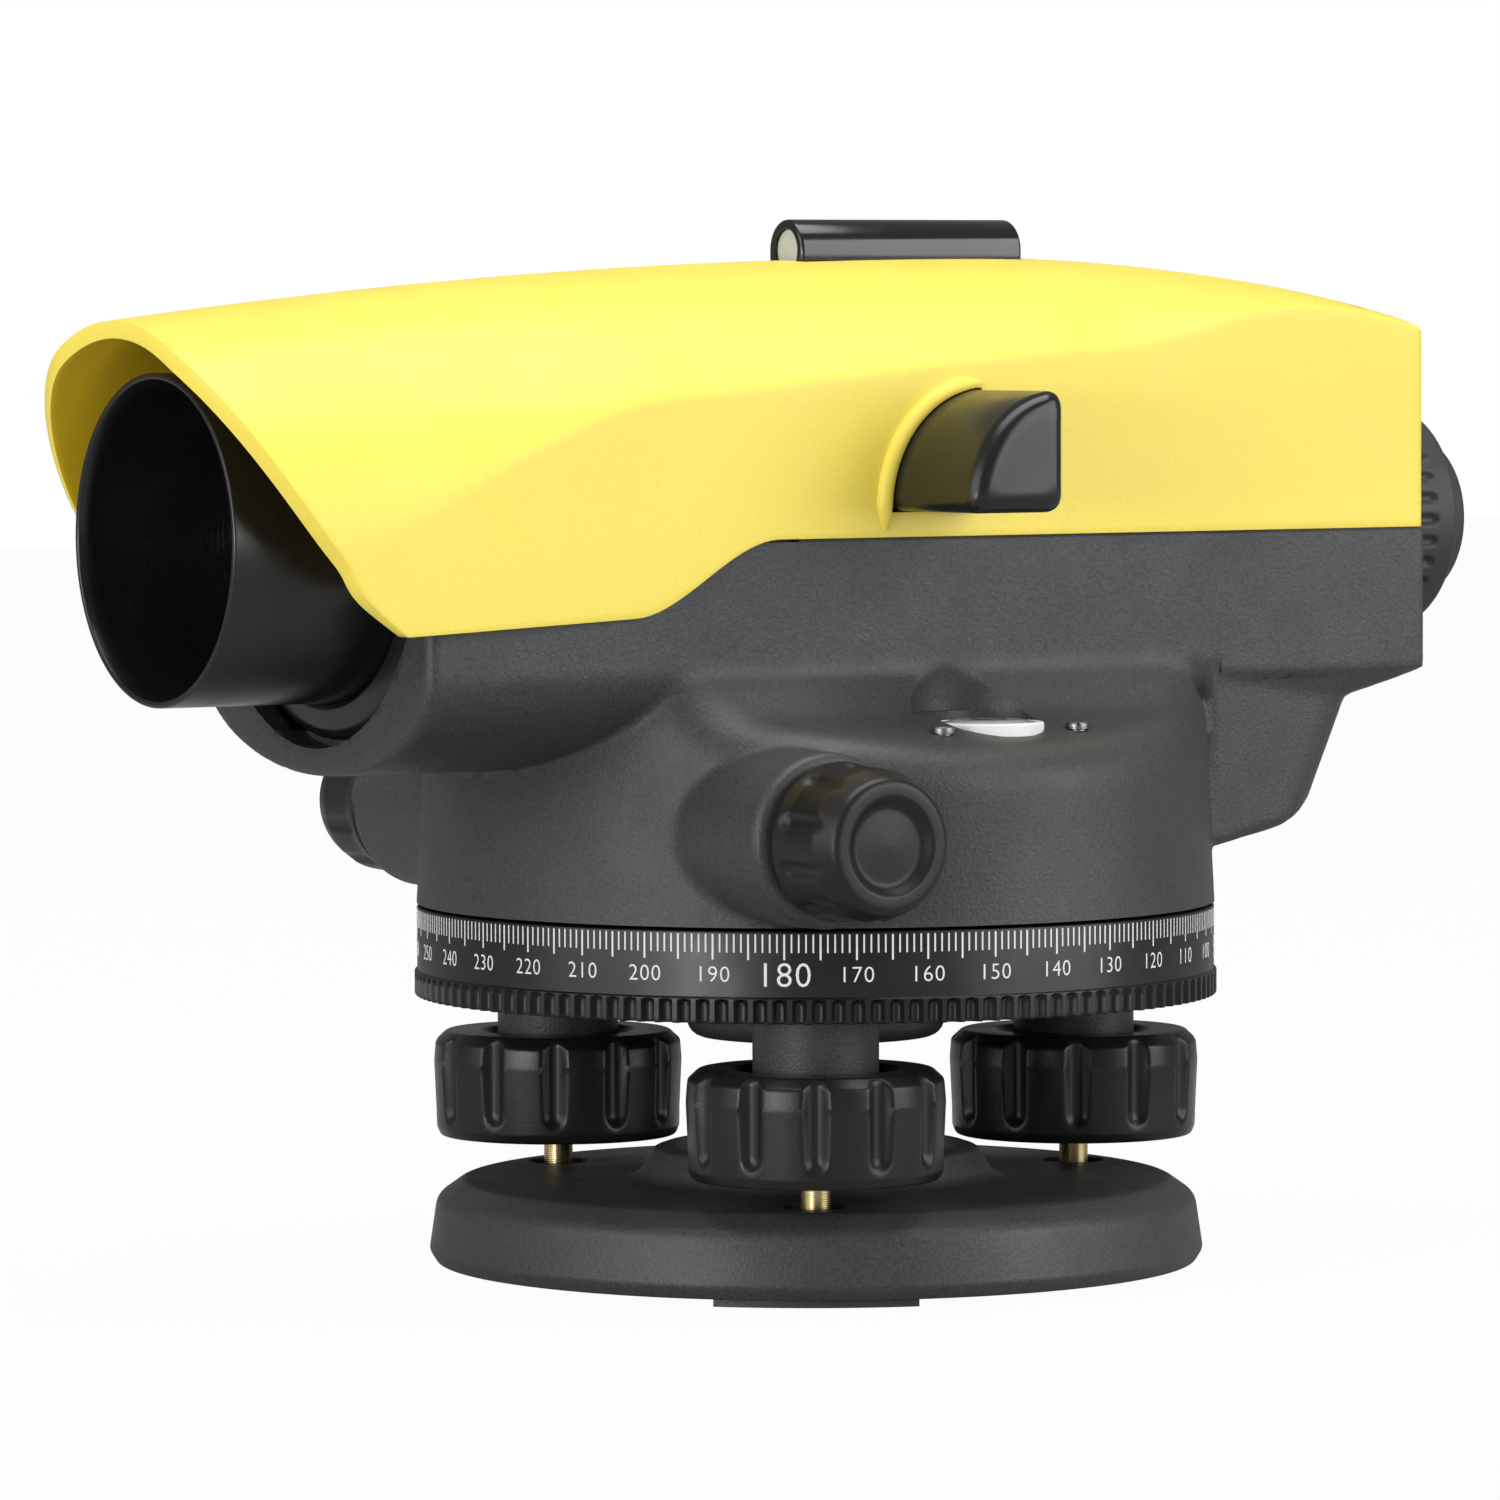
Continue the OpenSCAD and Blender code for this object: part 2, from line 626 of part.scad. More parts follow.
module compensator_frame() color(satin_black) {
    for (s = [-1, 1]) box([36, s > 0 ? 17 : -19.5, floor_z + 3.4], [58, s > 0 ? 19.5 : -17, 112]);
    for (x = [36, 55]) box([x, -20, floor_z], [x + 3, 20, floor_z + 3.4]);
    for (x = [36, 55]) box([x, -17, 84], [x + 3, 17, 87]);
    box([43, -17, 110], [51, 17, 112]);
}

module suspension_wires() color(steel)
    for (x = [-3, 3], y = [-10, 10]) translate([swing_x + x, y, 107.3]) cylinder(h = 2.7, r = 0.2);

module fixed_prisms() color(glass)
    for (x = [36, 55]) along_y(-8, 8) polygon([[x, 87], [x + 3, 87], [x + 3, 105], [x, 105]]);

module damping_magnets() color(steel)
    for (s = [-1, 1]) box([42, s > 0 ? 1.8 : -8, 61], [52, s > 0 ? 8 : -1.8, 68.5]);

module pendulum() color(brass) {
    for (s = [-1, 1]) box([43, s > 0 ? 9 : -11, 82], [51, s > 0 ? 11 : -9, 107]);
    box([43, -9, 82], [51, 9, 86]);
    box([46, -9, 105], [48, 9, 107]);
    box([45, -0.8, 63], [49, 0.8, 82]);
}

module pendulum_prism() color(glass)
    along_y(-7, 7) polygon([[43.5, 86], [50.5, 86], [50.5, 98], [47, 103], [43.5, 98]]);

// --- sight ---

sight_x0 = -4.4;
sight_x1 = 30;
sight_half_w = 4;
sight_low_z = 130.8;
sight_z = 132.5;
sight_bore_r = 2.9;

module sight_tube() color(gloss_black) difference() {
    union() {
        translate([sight_x0, 0, sight_z]) rotate([0, 90, 0])
            cylinder(h = sight_x1 - sight_x0, r = sight_half_w);
        box([sight_x0, -sight_half_w, sight_low_z], [sight_x1, sight_half_w, sight_z]);
    }
    translate([sight_x0 - 1, 0, sight_z]) rotate([0, 90, 0]) cylinder(h = 60, r = sight_bore_r);
    box([-20, -10, 120], [60, 10, sight_low_z]);
}

module sight_lens() color(glass)
    for (x = [sight_x0 + 0.4, sight_x1 - 2.4]) intersection() {
        translate([x, 0, sight_z]) rotate([0, 90, 0]) cylinder(h = 2, r = sight_bore_r);
        box([-20, -10, sight_low_z], [60, 10, 140]);
    }

// --- bubble and its prism ---

prism_x = 5.8;
prism_low_z = 99.3;
prism_w = 14;
prism_h = 15.4;
prism_y = -50;
vial_screw_places = [[-7.5, -41.5], [13, -41.5]];

// quarter oval, curved to the front and up, grown by m all round
module prism_outline(m) {
    a0 = -asin(m / (prism_h + m));
    a1 = 90 + asin(m / (prism_w + m));
    polygon(concat(
        [for (i = [0 : 10]) let (a = a0 + (a1 - a0) * i / 10)
            [prism_x - (prism_w + m) * cos(a), prism_low_z + (prism_h + m) * sin(a)]],
        [[prism_x + m, prism_low_z - m]]
    ));
}

module prism_housing() color(gloss_black) difference() {
    along_y(prism_y, -27) prism_outline(0);
    along_y(prism_y + 1.4, -28.5) prism_outline(-1.4);
    // windows towards the eyepiece and down to the bubble
    box([prism_x - 2, prism_y + 3, prism_low_z + 3], [prism_x + 1, -33, prism_low_z + prism_h - 3]);
    box([prism_x - prism_w + 3, prism_y + 3, prism_low_z - 1], [prism_x - 3, -33, prism_low_z + 2]);
}

module bubble_prism() color(glass) along_y(prism_y + 2.4, -32) polygon([
    [prism_x - 1.5, prism_low_z + 1.5], [prism_x - 1.5, prism_low_z + 12.5], [prism_x - 11.5, prism_low_z + 1.5]
]);

module vial_cup() color(white) translate([vial_x, vial_y, 0]) difference() {
    union() {
        translate([0, 0, deck_low_z - 3]) cylinder(h = 5, r = vial_pocket_r);
        translate([0, 0, deck_low_z - 3]) cylinder(h = vial_top_z - 0.3 - deck_low_z + 3, r = vial_cup_r);
    }
    translate([0, 0, deck_low_z - 1.5]) cylinder(h = 10, r = vial_r);
}

module bubble_vial() color(glass) translate([vial_x, vial_y, 0]) {
    translate([0, 0, deck_low_z - 1.5]) cylinder(h = vial_top_z - deck_low_z + 1.5, r = vial_r);
}

module vial_screws() color(steel) for (p = vial_screw_places) translate([p.x, p.y, 0]) {
    translate([0, 0, deck_low_z]) cylinder(h = vial_screw_z - deck_low_z, r = vial_screw_r);
    translate([0, 0, vial_head_z]) cylinder(h = vial_screw_z - vial_head_z, r = vial_head_r);
}

// --- tangent drive ---

worm_shaft_r = 2.5;

module worm_shaft() color(steel) {
    rod_y(tangent_x, tangent_z, -62, 62, worm_shaft_r);
    for (i = [-4 : 4]) translate([tangent_x, i * 1.35, tangent_z]) rotate([90, 0, 0]) rotate_extrude()
        polygon([[0, -0.6], [3.4, -0.6], [worm_r, -0.2], [worm_r, 0.2], [3.4, 0.6], [0, 0.6]]);
}

drive_knob_y = 51.4;
drive_flutes = 10;

// knob along +Z from its back face
module drive_knob() difference() {
    rotate_extrude() polygon([
        [worm_shaft_r, 0], [drive_knob_r - 0.3, 0], [drive_knob_r, 0.5], [drive_knob_r - 0.2, 8],
        [drive_knob_r - 1.4, 12.1], [drive_knob_r - 2.2, 12.6], [5.6, 12.6], [5, 11.6], [0, 11.2],
        [0, 10.7], [worm_shaft_r, 10.7]
    ]);
    for (i = [0.5 : drive_flutes]) rotate([0, 0, i * 360 / drive_flutes])
        translate([drive_knob_r + 1.1, 0, 3.4]) {
            cylinder(h = 10, r = 2);
            sphere(r = 2);
        }
}

module drive_knob_left() color(gloss_black)
    translate([tangent_x, -drive_knob_y, tangent_z]) rotate([90, 0, 0]) drive_knob();
module drive_knob_right() color(gloss_black)
    translate([tangent_x, drive_knob_y, tangent_z]) rotate([-90, 0, 0]) drive_knob();

// --- focusing ---

focus_shaft_r = 2;
pinion_r = 3.4;
rack_z = axis_z - 3.4;

module focus_knob() color(gloss_black)
    translate([focus_x, focus_knob_y, focus_z]) rotate([-90, 0, 0]) difference() {
    rotate_extrude() polygon([
        [focus_shaft_r, 0], [14.6, 0], [focus_knob_r, 0.6], [14.7, 8.5], [13.4, 12.2],
        [12.4, 12.8], [8.2, 12.8], [7.4, 11.8], [0, 11.4], [0, 10.6], [focus_shaft_r, 10.6]
    ]);
    for (i = [0.5 : 16]) rotate([0, 0, i * 22.5]) translate([16, 0, 3.4]) {
        cylinder(h = 12, r = 2);
        sphere(r = 2);
    }
}

module focus_pinion() color(steel) {
    rod_y(focus_x, focus_z, 16.6, body_half_w + 12.6, focus_shaft_r);
    translate([focus_x, 20.6, focus_z]) rotate([90, 0, 0]) linear_extrude(height = 4)
        polygon(toothed(pinion_r, pinion_r - 0.7, 20));
}

focus_cell_x = -24;

module focusing_cell() color(satin_black) difference() {
    union() {
        rod_x(focus_cell_x - 8, focus_cell_x + 8, barrel_bore_r - run);
        box([focus_cell_x - 6, 8, rack_z], [focus_x + focus_travel + 2, 20.4, rack_z + 6]);
    }
    rod_x(focus_cell_x - 9, 60, 11);
}

module focusing_lens() color(glass) lens(focus_cell_x - 2.5, focus_cell_x + 2.5, 11, 1.2);

// --- eyepiece ---

module eyepiece_ring() color(rubber) difference() {
    union() {
        rod_x(79.6, 95, eyepiece_r - 2);
        translate([81, 0, axis_z]) rotate([0, 90, 0]) linear_extrude(height = 9.5)
            polygon(toothed(eyepiece_r, eyepiece_r - 0.8, 32));
        rod_x(90.2, 93.3, eyepiece_r - 0.15);
        translate([93.1, 0, axis_z]) rotate([0, 90, 0])
            cylinder(h = 2, r1 = eyepiece_r - 0.5, r2 = eyepiece_r - 2.6);
        rod_x(92, eyepiece_x, eyepiece_r - 4.4);
    }
    rod_x(79, 84.4, seat_tube_r - 0.2 + run);
    rod_x(84, 96, 7.6);
    rod_x(95.9, 99, 6.6);
}

module eyepiece_barrel() color(satin_black) difference() {
    rod_x(70.6, 93.2, eyepiece_barrel_r);
    rod_x(70, 90, 5.4);
    rod_x(91.5, 94, 5);
}

base_plate();
tripod_bush();
spring_plate();
spring_plate_screws();
swivel_foot_front();
swivel_feet_rear();
tribrach();
axis_bush();
footscrew_bushes();
stem_front();
stem_left();
stem_right();
footscrew_knob_front();
footscrew_knob_left();
footscrew_knob_right();
footscrew_front();
footscrew_left();
footscrew_right();
horizontal_circle();
worm_wheel();
clutch_spring();
lower_housing();
top_cover();
cover_gasket();
cover_screws();
vertical_axis();
axis_flange_screws();
worm_bushes();
focus_bush();
objective_tube();
nose_ring();
objective_cell();
objective_lens();
telescope_barrel();
reticle_cell();
reticle();
reticle_screws();
eyepiece_seat();
compensator_frame();
suspension_wires();
fixed_prisms();
damping_magnets();
sight_tube();
sight_lens();
prism_housing();
bubble_prism();
vial_cup();
bubble_vial();
vial_screws();
pendulum();
pendulum_prism();
worm_shaft();
drive_knob_left();
drive_knob_right();
focus_knob();
focus_pinion();
focusing_cell();
focusing_lens();
eyepiece_ring();
eyepiece_barrel();
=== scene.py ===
"""Looks of the automatic level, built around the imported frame. Shapes are drawn in millimetres."""
import json
import math

import bmesh
import bpy
import numpy as np
from mathutils import Matrix, Vector


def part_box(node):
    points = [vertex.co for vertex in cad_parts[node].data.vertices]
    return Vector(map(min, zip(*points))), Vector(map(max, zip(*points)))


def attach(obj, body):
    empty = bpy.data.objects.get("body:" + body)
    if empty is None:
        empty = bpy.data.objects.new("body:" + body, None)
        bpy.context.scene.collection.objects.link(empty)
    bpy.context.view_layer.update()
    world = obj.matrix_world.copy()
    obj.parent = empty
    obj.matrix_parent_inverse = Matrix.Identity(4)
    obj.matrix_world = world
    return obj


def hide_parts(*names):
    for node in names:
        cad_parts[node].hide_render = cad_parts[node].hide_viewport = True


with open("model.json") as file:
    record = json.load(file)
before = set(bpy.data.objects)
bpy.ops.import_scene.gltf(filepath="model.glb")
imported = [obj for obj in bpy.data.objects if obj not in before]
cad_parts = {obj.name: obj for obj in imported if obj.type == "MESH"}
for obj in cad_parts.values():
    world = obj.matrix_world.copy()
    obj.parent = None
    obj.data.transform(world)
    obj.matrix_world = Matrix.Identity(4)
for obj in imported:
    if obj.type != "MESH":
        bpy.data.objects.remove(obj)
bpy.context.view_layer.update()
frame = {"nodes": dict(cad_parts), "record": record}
MM = 0.001
TAU = 2 * math.pi


# --- places read from the frame ---

def box_mm(node):
    """Lowest and highest corner of a CAD node, in millimetres."""
    low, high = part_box(node)
    return np.array(low) / MM, np.array(high) / MM


def middle(node):
    low, high = box_mm(node)
    return (low + high) / 2


tube_low, tube_high = box_mm("objective_tube")
AXIS_Z = (tube_low[2] + tube_high[2]) / 2
TUBE_R = (tube_high[2] - tube_low[2]) / 2
TUBE_X = tube_low[0]
house_low, house_high = box_mm("lower_housing")
NOSE_X = house_low[0]
REAR_X = house_high[0]
DRUM_R = house_high[1]
HOOD_X = box_mm("top_cover")[0][0]
SEAM_Z = box_mm("cover_gasket")[1][2]
CIRCLE_LOW, CIRCLE_HIGH = (corner[2] for corner in box_mm("horizontal_circle"))
CIRCLE_R = 52.0
DRUM_BOTTOM_Z = 47.9
BODY_HALF_W = 29.4
SHOULDER_Z = 71.7
FOCUS_X, FOCUS_Z = 10, 89.5
HOUSING_WALL = 3
DRUM_END_X = 41.3
DRUM_HOLLOW_R = 48.6
OVERHANG_Z = 77.0
SLEEVE_R = 11
SLEEVE_Y = 50.5
NOSE_HOLE_R = 26.5
EYEPIECE_HOLE_R = 9.2
VIAL_WELL_R = 7.05
FOOTSCREWS = {side: middle(f"stem_{side}")[:2] for side in ("front", "left", "right")}
BASE_R = box_mm("base_plate")[1][0]
TANGENT_X, _, TANGENT_Z = middle("worm_shaft")
vial_middle = middle("bubble_vial")
screw_low, screw_high = box_mm("vial_screws")
screw_places = [(x, (screw_low[1] + screw_high[1]) / 2) for x in (screw_low[0] + 1.5, screw_high[0] - 1.5)]
prism_low, prism_high = box_mm("prism_housing")
sight_low, sight_high = box_mm("sight_tube")


# --- mesh helpers ---

def rounded(points, closed=False, steps=6):
    """Outline with each corner (x, y, radius) turned into an arc. Corners without a radius stay sharp."""
    count = len(points)
    outline = []
    for i, corner in enumerate(points):
        here = np.array(corner[:2], float)
        radius = corner[2] if len(corner) > 2 else 0
        ends = not closed and i in (0, count - 1)
        if radius <= 0 or ends:
            outline.append(here)
            continue
        before = np.array(points[i - 1][:2], float) - here
        after = np.array(points[(i + 1) % count][:2], float) - here
        length_before, length_after = np.linalg.norm(before), np.linalg.norm(after)
        before, after = before / length_before, after / length_after
        half = math.acos(np.clip(before @ after, -1, 1)) / 2
        reach = min(radius / math.tan(half), 0.49 * length_before, 0.49 * length_after)
        radius = reach * math.tan(half)
        centre = here + (before + after) / np.linalg.norm(before + after) * radius / math.sin(half)
        start, end = here + before * reach - centre, here + after * reach - centre
        turn = math.atan2(start[0] * end[1] - start[1] * end[0], start @ end)
        for k in range(steps + 1):
            c, s = math.cos(turn * k / steps), math.sin(turn * k / steps)
            outline.append(centre + np.array([c * start[0] - s * start[1], s * start[0] + c * start[1]]))
    return np.array(outline)


def grid_faces(rows, cols, wrap_rows=False, wrap_cols=False):
    """Quads over a grid of points numbered row by row."""
    i = np.arange(rows if wrap_rows else rows - 1)[:, None]
    j = np.arange(cols if wrap_cols else cols - 1)[None, :]
    i2, j2 = (i + 1) % rows, (j + 1) % cols
    quads = np.stack([i * cols + j, i * cols + j2, i2 * cols + j2, i2 * cols + j], -1)
    return quads.reshape(-1, 4).tolist()


def lathe(profile, steps=96, warp=None, closed=False):
    """Turns a profile of (radius, height) about +Z. warp(angle, radius, height) returns new radii."""
    profile = np.asarray(profile, float)
    angle = np.arange(steps) * TAU / steps
    radius = np.repeat(profile[:, :1], steps, 1)
    height = np.repeat(profile[:, 1:], steps, 1)
    angles = np.repeat(angle[None, :], len(profile), 0)
    if warp is not None:
        radius = warp(angles, radius, height)
    points = np.stack([radius * np.cos(angles), radius * np.sin(angles), height], -1).reshape(-1, 3)
    faces = grid_faces(len(profile), steps, wrap_rows=closed, wrap_cols=True)
    return points, faces


def plug(radius, low, high, steps):
    """Plain cylinder about +Z, mostly to cut a hole with."""
    return lathe([(0, low), (radius, low), (radius, high), (0, high)], steps)


def prism(outline, low, high):
    """Extrudes a closed outline of (x, y) from low to high along Z."""
    outline = np.asarray(outline, float)
    count = len(outline)
    points = np.concatenate([np.c_[outline, np.full(count, low)], np.c_[outline, np.full(count, high)]])
    faces = [[i, (i + 1) % count, (i + 1) % count + count, i + count] for i in range(count)]
    faces += [list(range(count))[::-1], list(range(count, 2 * count))]
    return points, faces


def turned(shape, axis="Z", at=(0, 0, 0), spin=0.0):
    """Moves a shape drawn about +Z so that it points along axis, such as X or -Y, and sits at a point."""
    points, faces = shape
    points = np.asarray(points, float)
    turn = np.array(Matrix.Rotation(spin, 3, "Z"))
    if axis != "Z":
        sign = -1 if axis.startswith("-") else 1
        target = Vector([sign * (axis[-1] == name) for name in "XYZ"])
        turn = np.array(Vector((0, 0, 1)).rotation_difference(target).to_matrix()) @ turn
    return points @ turn.T + np.array(at, float), faces


def upright(shape, x, y):
    """Moves a shape drawn about +Z onto the upright line through (x, y)."""
    return turned(shape, at=(x, y, 0))


def on_axis(shape):
    """Turns a shape drawn about +Z onto the optical axis."""
    return turned(shape, "X", (0, 0, AXIS_Z))


def combined(*shapes):
    """One shape from several."""
    points, faces, start = [], [], 0
    for shape_points, shape_faces in shapes:
        points.append(np.asarray(shape_points, float))
        faces += [[i + start for i in face] for face in shape_faces]
        start += len(shape_points)
    return np.concatenate(points), faces


def shade(obj, sharp_angle=35):
    """Smooth shading that breaks at edges sharper than the angle, with outward faces."""
    mesh = bmesh.new()
    mesh.from_mesh(obj.data)
    bmesh.ops.remove_doubles(mesh, verts=mesh.verts, dist=1e-6)
    bmesh.ops.recalc_face_normals(mesh, faces=mesh.faces)
    limit = math.radians(sharp_angle)
    for face in mesh.faces:
        face.smooth = True
    for edge in mesh.edges:
        edge.smooth = len(edge.link_faces) == 2 and edge.calc_face_angle(0) < limit
    mesh.to_mesh(obj.data)
    mesh.free()


def new_object(name, shape, sharp_angle=35):
    points, faces = shape
    mesh = bpy.data.meshes.new(name)
    mesh.from_pydata((np.asarray(points) * MM).tolist(), [], faces)
    obj = bpy.data.objects.new(name, mesh)
    bpy.context.collection.objects.link(obj)
    shade(obj, sharp_angle)
    return obj


def modified(obj, kind, **settings):
    """Applies one modifier to the object's mesh."""
    modifier = obj.modifiers.new(kind.lower(), kind)
    for key, value in settings.items():
        setattr(modifier, key, value)
    graph = bpy.context.evaluated_depsgraph_get()
    graph.update()
    mesh = bpy.data.meshes.new_from_object(obj.evaluated_get(graph))
    obj.modifiers.clear()
    obj.data = mesh
    return obj


def carved(obj, shape, operation="DIFFERENCE"):
    """Cuts a shape from the object, or adds it."""
    tool = new_object("tool", shape)
    modified(obj, "BOOLEAN", object=tool, operation=operation, solver="EXACT")
    bpy.data.objects.remove(tool)
    return obj


def bevelled(obj, width, segments=3, angle=40):
    return modified(obj, "BEVEL", width=width * MM, segments=segments, limit_method="ANGLE",
                    angle_limit=math.radians(angle), harden_normals=False)


def piece(obj, body, slot, material, *nodes, sharp_angle=35):
    """Hands a finished object to the frame: its body, material and the CAD nodes it stands for. The slot
    argument is not used.
    """
    shade(obj, sharp_angle)
    obj.data.materials.clear()
    obj.data.materials.append(material)
    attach(obj, body)
    if nodes:
        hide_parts(*nodes)
    return obj


def made(name, shape, body, slot, material, *nodes, sharp_angle=35):
    """A piece straight from a shape."""
    return piece(new_object(name, shape, sharp_angle), body, slot, material, *nodes, sharp_angle=sharp_angle)


# --- materials ---

def set_inputs(node, values):
    """Sets plain values on a node's own sockets."""
    for socket, value in values.items():
        node.inputs[socket].default_value = value


def coated(name, colour, roughness, grain_mm, grain_depth=0.02, speckle=0.06, metallic=0.0, coat=0.0,
           mottling=0.05, gloss_change=0.06, specular=0.5):
    """A moulded, coated or turned surface: fine grain bump, speckle, mottling and uneven gloss."""
    material = bpy.data.materials.new(name)
    material.use_nodes = True
    nodes, links = material.node_tree.nodes, material.node_tree.links
    shader = nodes["Principled BSDF"]
    set_inputs(shader, {"Metallic": metallic, "Coat Weight": coat, "Coat Roughness": 0.12,
                        "Specular IOR Level": specular})
    place = nodes.new("ShaderNodeTexCoord").outputs["Object"]

    def noise(size_mm, detail):
        node = nodes.new("ShaderNodeTexNoise")
        set_inputs(node, {"Scale": 1 / (size_mm * MM), "Detail": detail})
        links.new(place, node.inputs["Vector"])
        return node.outputs["Fac"]

    def spread(value, low, high):
        node = nodes.new("ShaderNodeMapRange")
        set_inputs(node, {"From Min": 0.3, "From Max": 0.7, "To Min": low, "To Max": high})
        links.new(value, node.inputs["Value"])
        return node.outputs["Result"]

    def tinted(base, value, amount):
        node = nodes.new("ShaderNodeHueSaturation")
        node.inputs["Color"].default_value = (*base, 1) if isinstance(base, tuple) else (1, 1, 1, 1)
        if not isinstance(base, tuple):
            links.new(base, node.inputs["Color"])
        links.new(spread(value, 1 - amount, 1 + amount), node.inputs["Value"])
        return node.outputs["Color"]

    grain = noise(grain_mm, 3)
    shown = tinted(tuple(colour), noise(18, 2), mottling)
    shown = tinted(shown, grain, speckle)
    links.new(shown, shader.inputs["Base Color"])
    gloss = spread(noise(9, 4), roughness - gloss_change, roughness + gloss_change)
    links.new(gloss, shader.inputs["Roughness"])
    bump = nodes.new("ShaderNodeBump")
    set_inputs(bump, {"Strength": 1, "Distance": grain_depth * MM})
    links.new(grain, bump.inputs["Height"])
    links.new(bump.outputs["Normal"], shader.inputs["Normal"])
    return material


def brushed(name, colour, roughness, rings_mm=0.25):
    """Turned metal: fine rings of lathe marks around the piece."""
    material = coated(name, colour, roughness, 0.3, 0.004, 0.05, metallic=1.0, mottling=0.08,
                      gloss_change=0.08)
    nodes, links = material.node_tree.nodes, material.node_tree.links
    marks = nodes.new("ShaderNodeTexWave")
    marks.bands_direction = "Z"
    set_inputs(marks, {"Scale": 0.3 / (rings_mm * MM), "Distortion": 0.6})
    links.new(nodes["Texture Coordinate"].outputs["Object"], marks.inputs["Vector"])
    bump = nodes["Bump"]
    bump.inputs["Distance"].default_value = 0.006 * MM
    links.new(marks.outputs["Fac"], bump.inputs["Height"])
    return material


def clear(name, colour, roughness=0.02, ior=1.5):
    """Optical glass, with faint uneven polish."""
    material = coated(name, colour, roughness + 0.015, 4, 0.001, 0.01, mottling=0.01, gloss_change=0.012)
    set_inputs(material.node_tree.nodes["Principled BSDF"], {"Transmission Weight": 1, "IOR": ior})
    return material


GREY = coated("housing_grey_coat", (0.036, 0.0385, 0.0415), 0.47, 0.4, 0.07, 0.3, mottling=0.06,
              specular=0.42)
YELLOW = coated("cover_yellow_moulding", (0.9, 0.72, 0.1), 0.4, 0.4, 0.012, 0.03, mottling=0.02, specular=0.4)
# painted shade: the same yellow plastic made darker and deeper, standing in for the shade and bounced light
# inside the hood
YELLOW_PAINTED_SHADE = coated("cover_yellow_painted_shade", (0.9, 0.6, 0.02), 0.5, 0.4, 0.02, 0.04, mottling=0.03,
                       specular=0.2)
KNOB = coated("knob_black_moulding", (0.01, 0.01, 0.0105), 0.3, 0.45, 0.014, 0.12, mottling=0.1, specular=0.3)
GLOSS = coated("gloss_black_moulding", (0.009, 0.009, 0.01), 0.16, 0.8, 0.005, 0.05, coat=0.2)
PRISM = coated("prism_black_moulding", (0.009, 0.009, 0.01), 0.27, 0.8, 0.005, 0.05, specular=0.4)
TUBE = coated("tube_black_anodised", (0.008, 0.008, 0.008), 0.27, 0.5, 0.006, 0.1)
CIRCLE = coated("circle_black_anodised", (0.008, 0.008, 0.0085), 0.36, 0.3, 0.012, 0.12, specular=0.4)
RUBBER = coated("rubber_black", (0.026, 0.026, 0.026), 0.55, 0.4, 0.03, 0.15)
STEEL = brushed("steel_turned", (0.55, 0.56, 0.57), 0.3)
DARK_STEEL = brushed("screw_steel", (0.24, 0.24, 0.25), 0.36)
BRASS = brushed("brass_turned", (0.55, 0.44, 0.22), 0.34)
INNER = coated("inner_black_anodised", (0.012, 0.012, 0.013), 0.5, 0.4, 0.01, 0.1)
GLASS = clear("optical_glass", (0.93, 0.97, 0.98))
LENS = clear("coated_lens_glass", (0.86, 0.94, 0.97))
FROST = coated("silvered_glass", (0.62, 0.65, 0.63), 0.12, 1.5, 0.003, 0.06, metallic=0.3, coat=0.6)
SOFT = coated("soft_grip_moulding", (0.01, 0.01, 0.0105), 0.36, 0.35, 0.01, 0.1, mottling=0.08, specular=0.3)
PAINT = coated("white_paint", (0.8, 0.8, 0.79), 0.5, 0.2, 0.004, 0.05)
SLOT_MATERIALS = {
    "housing_grey": GREY, "cover_yellow": YELLOW, "knob_black": KNOB, "gloss_black": GLOSS,
    "tube_black": TUBE, "circle_black": CIRCLE, "rubber_black": RUBBER, "steel": STEEL, "brass": BRASS,
    "inner_black": INNER, "glass": GLASS, "marking_white": PAINT,
}


def finish_frame_nodes():
    """Gives every carried-over CAD node the material of its slot."""
    for subpart in frame["record"]["subparts"]:
        obj = frame["nodes"].get(subpart["node"])
        if obj is None:
            continue
        for index in range(len(obj.material_slots)):
            obj.material_slots[index].material = SLOT_MATERIALS[subpart["material_slot"]]


finish_frame_nodes()


# --- camera, lights and floor ---

def add_camera():
    """The view of the reference: a long lens, a little above the base, from the front left."""
    position = Vector((-607.39, -945.63, 126.22)) * MM
    forward = Vector((0.53335, 0.84428, -0.0522))
    data = bpy.data.cameras.new("camera")
    data.lens = 207.14
    data.sensor_width = 36
    data.clip_end = 20
    camera = bpy.data.objects.new("camera", data)
    bpy.context.collection.objects.link(camera)
    level = forward.to_track_quat("-Z", "Y").to_matrix()
    roll = Matrix.Rotation(math.radians(-0.156), 3, "Z")
    camera.matrix_world = Matrix.Translation(position) @ (level @ roll).to_4x4()
    bpy.context.scene.camera = camera


def add_light(name, place, target, size, power):
    data = bpy.data.lights.new(name, "AREA")
    data.shape = "RECTANGLE"
    data.size, data.size_y = size
    data.energy = power
    light = bpy.data.objects.new(name, data)
    bpy.context.collection.objects.link(light)
    light.location = place
    light.rotation_euler = (Vector(target) - Vector(place)).to_track_quat("-Z", "Y").to_euler()


def white_to_camera(tree, lit, output, share):
    """Lets the camera see mostly plain white where the object would see the floor or sky as lit."""
    nodes, links = tree.nodes, tree.links
    plain = nodes.new("ShaderNodeBackground" if output == "World Output" else "ShaderNodeEmission")
    plain.inputs["Color"].default_value = (1, 1, 1, 1)
    amount = nodes.new("ShaderNodeMath")
    amount.operation = "MULTIPLY"
    amount.inputs[1].default_value = share
    links.new(nodes.new("ShaderNodeLightPath").outputs["Is Camera Ray"], amount.inputs[0])
    mix = nodes.new("ShaderNodeMixShader")
    links.new(amount.outputs["Value"], mix.inputs["Fac"])
    links.new(lit, mix.inputs[1])
    links.new(plain.outputs[0], mix.inputs[2])
    links.new(mix.outputs["Shader"], nodes[output].inputs["Surface"])


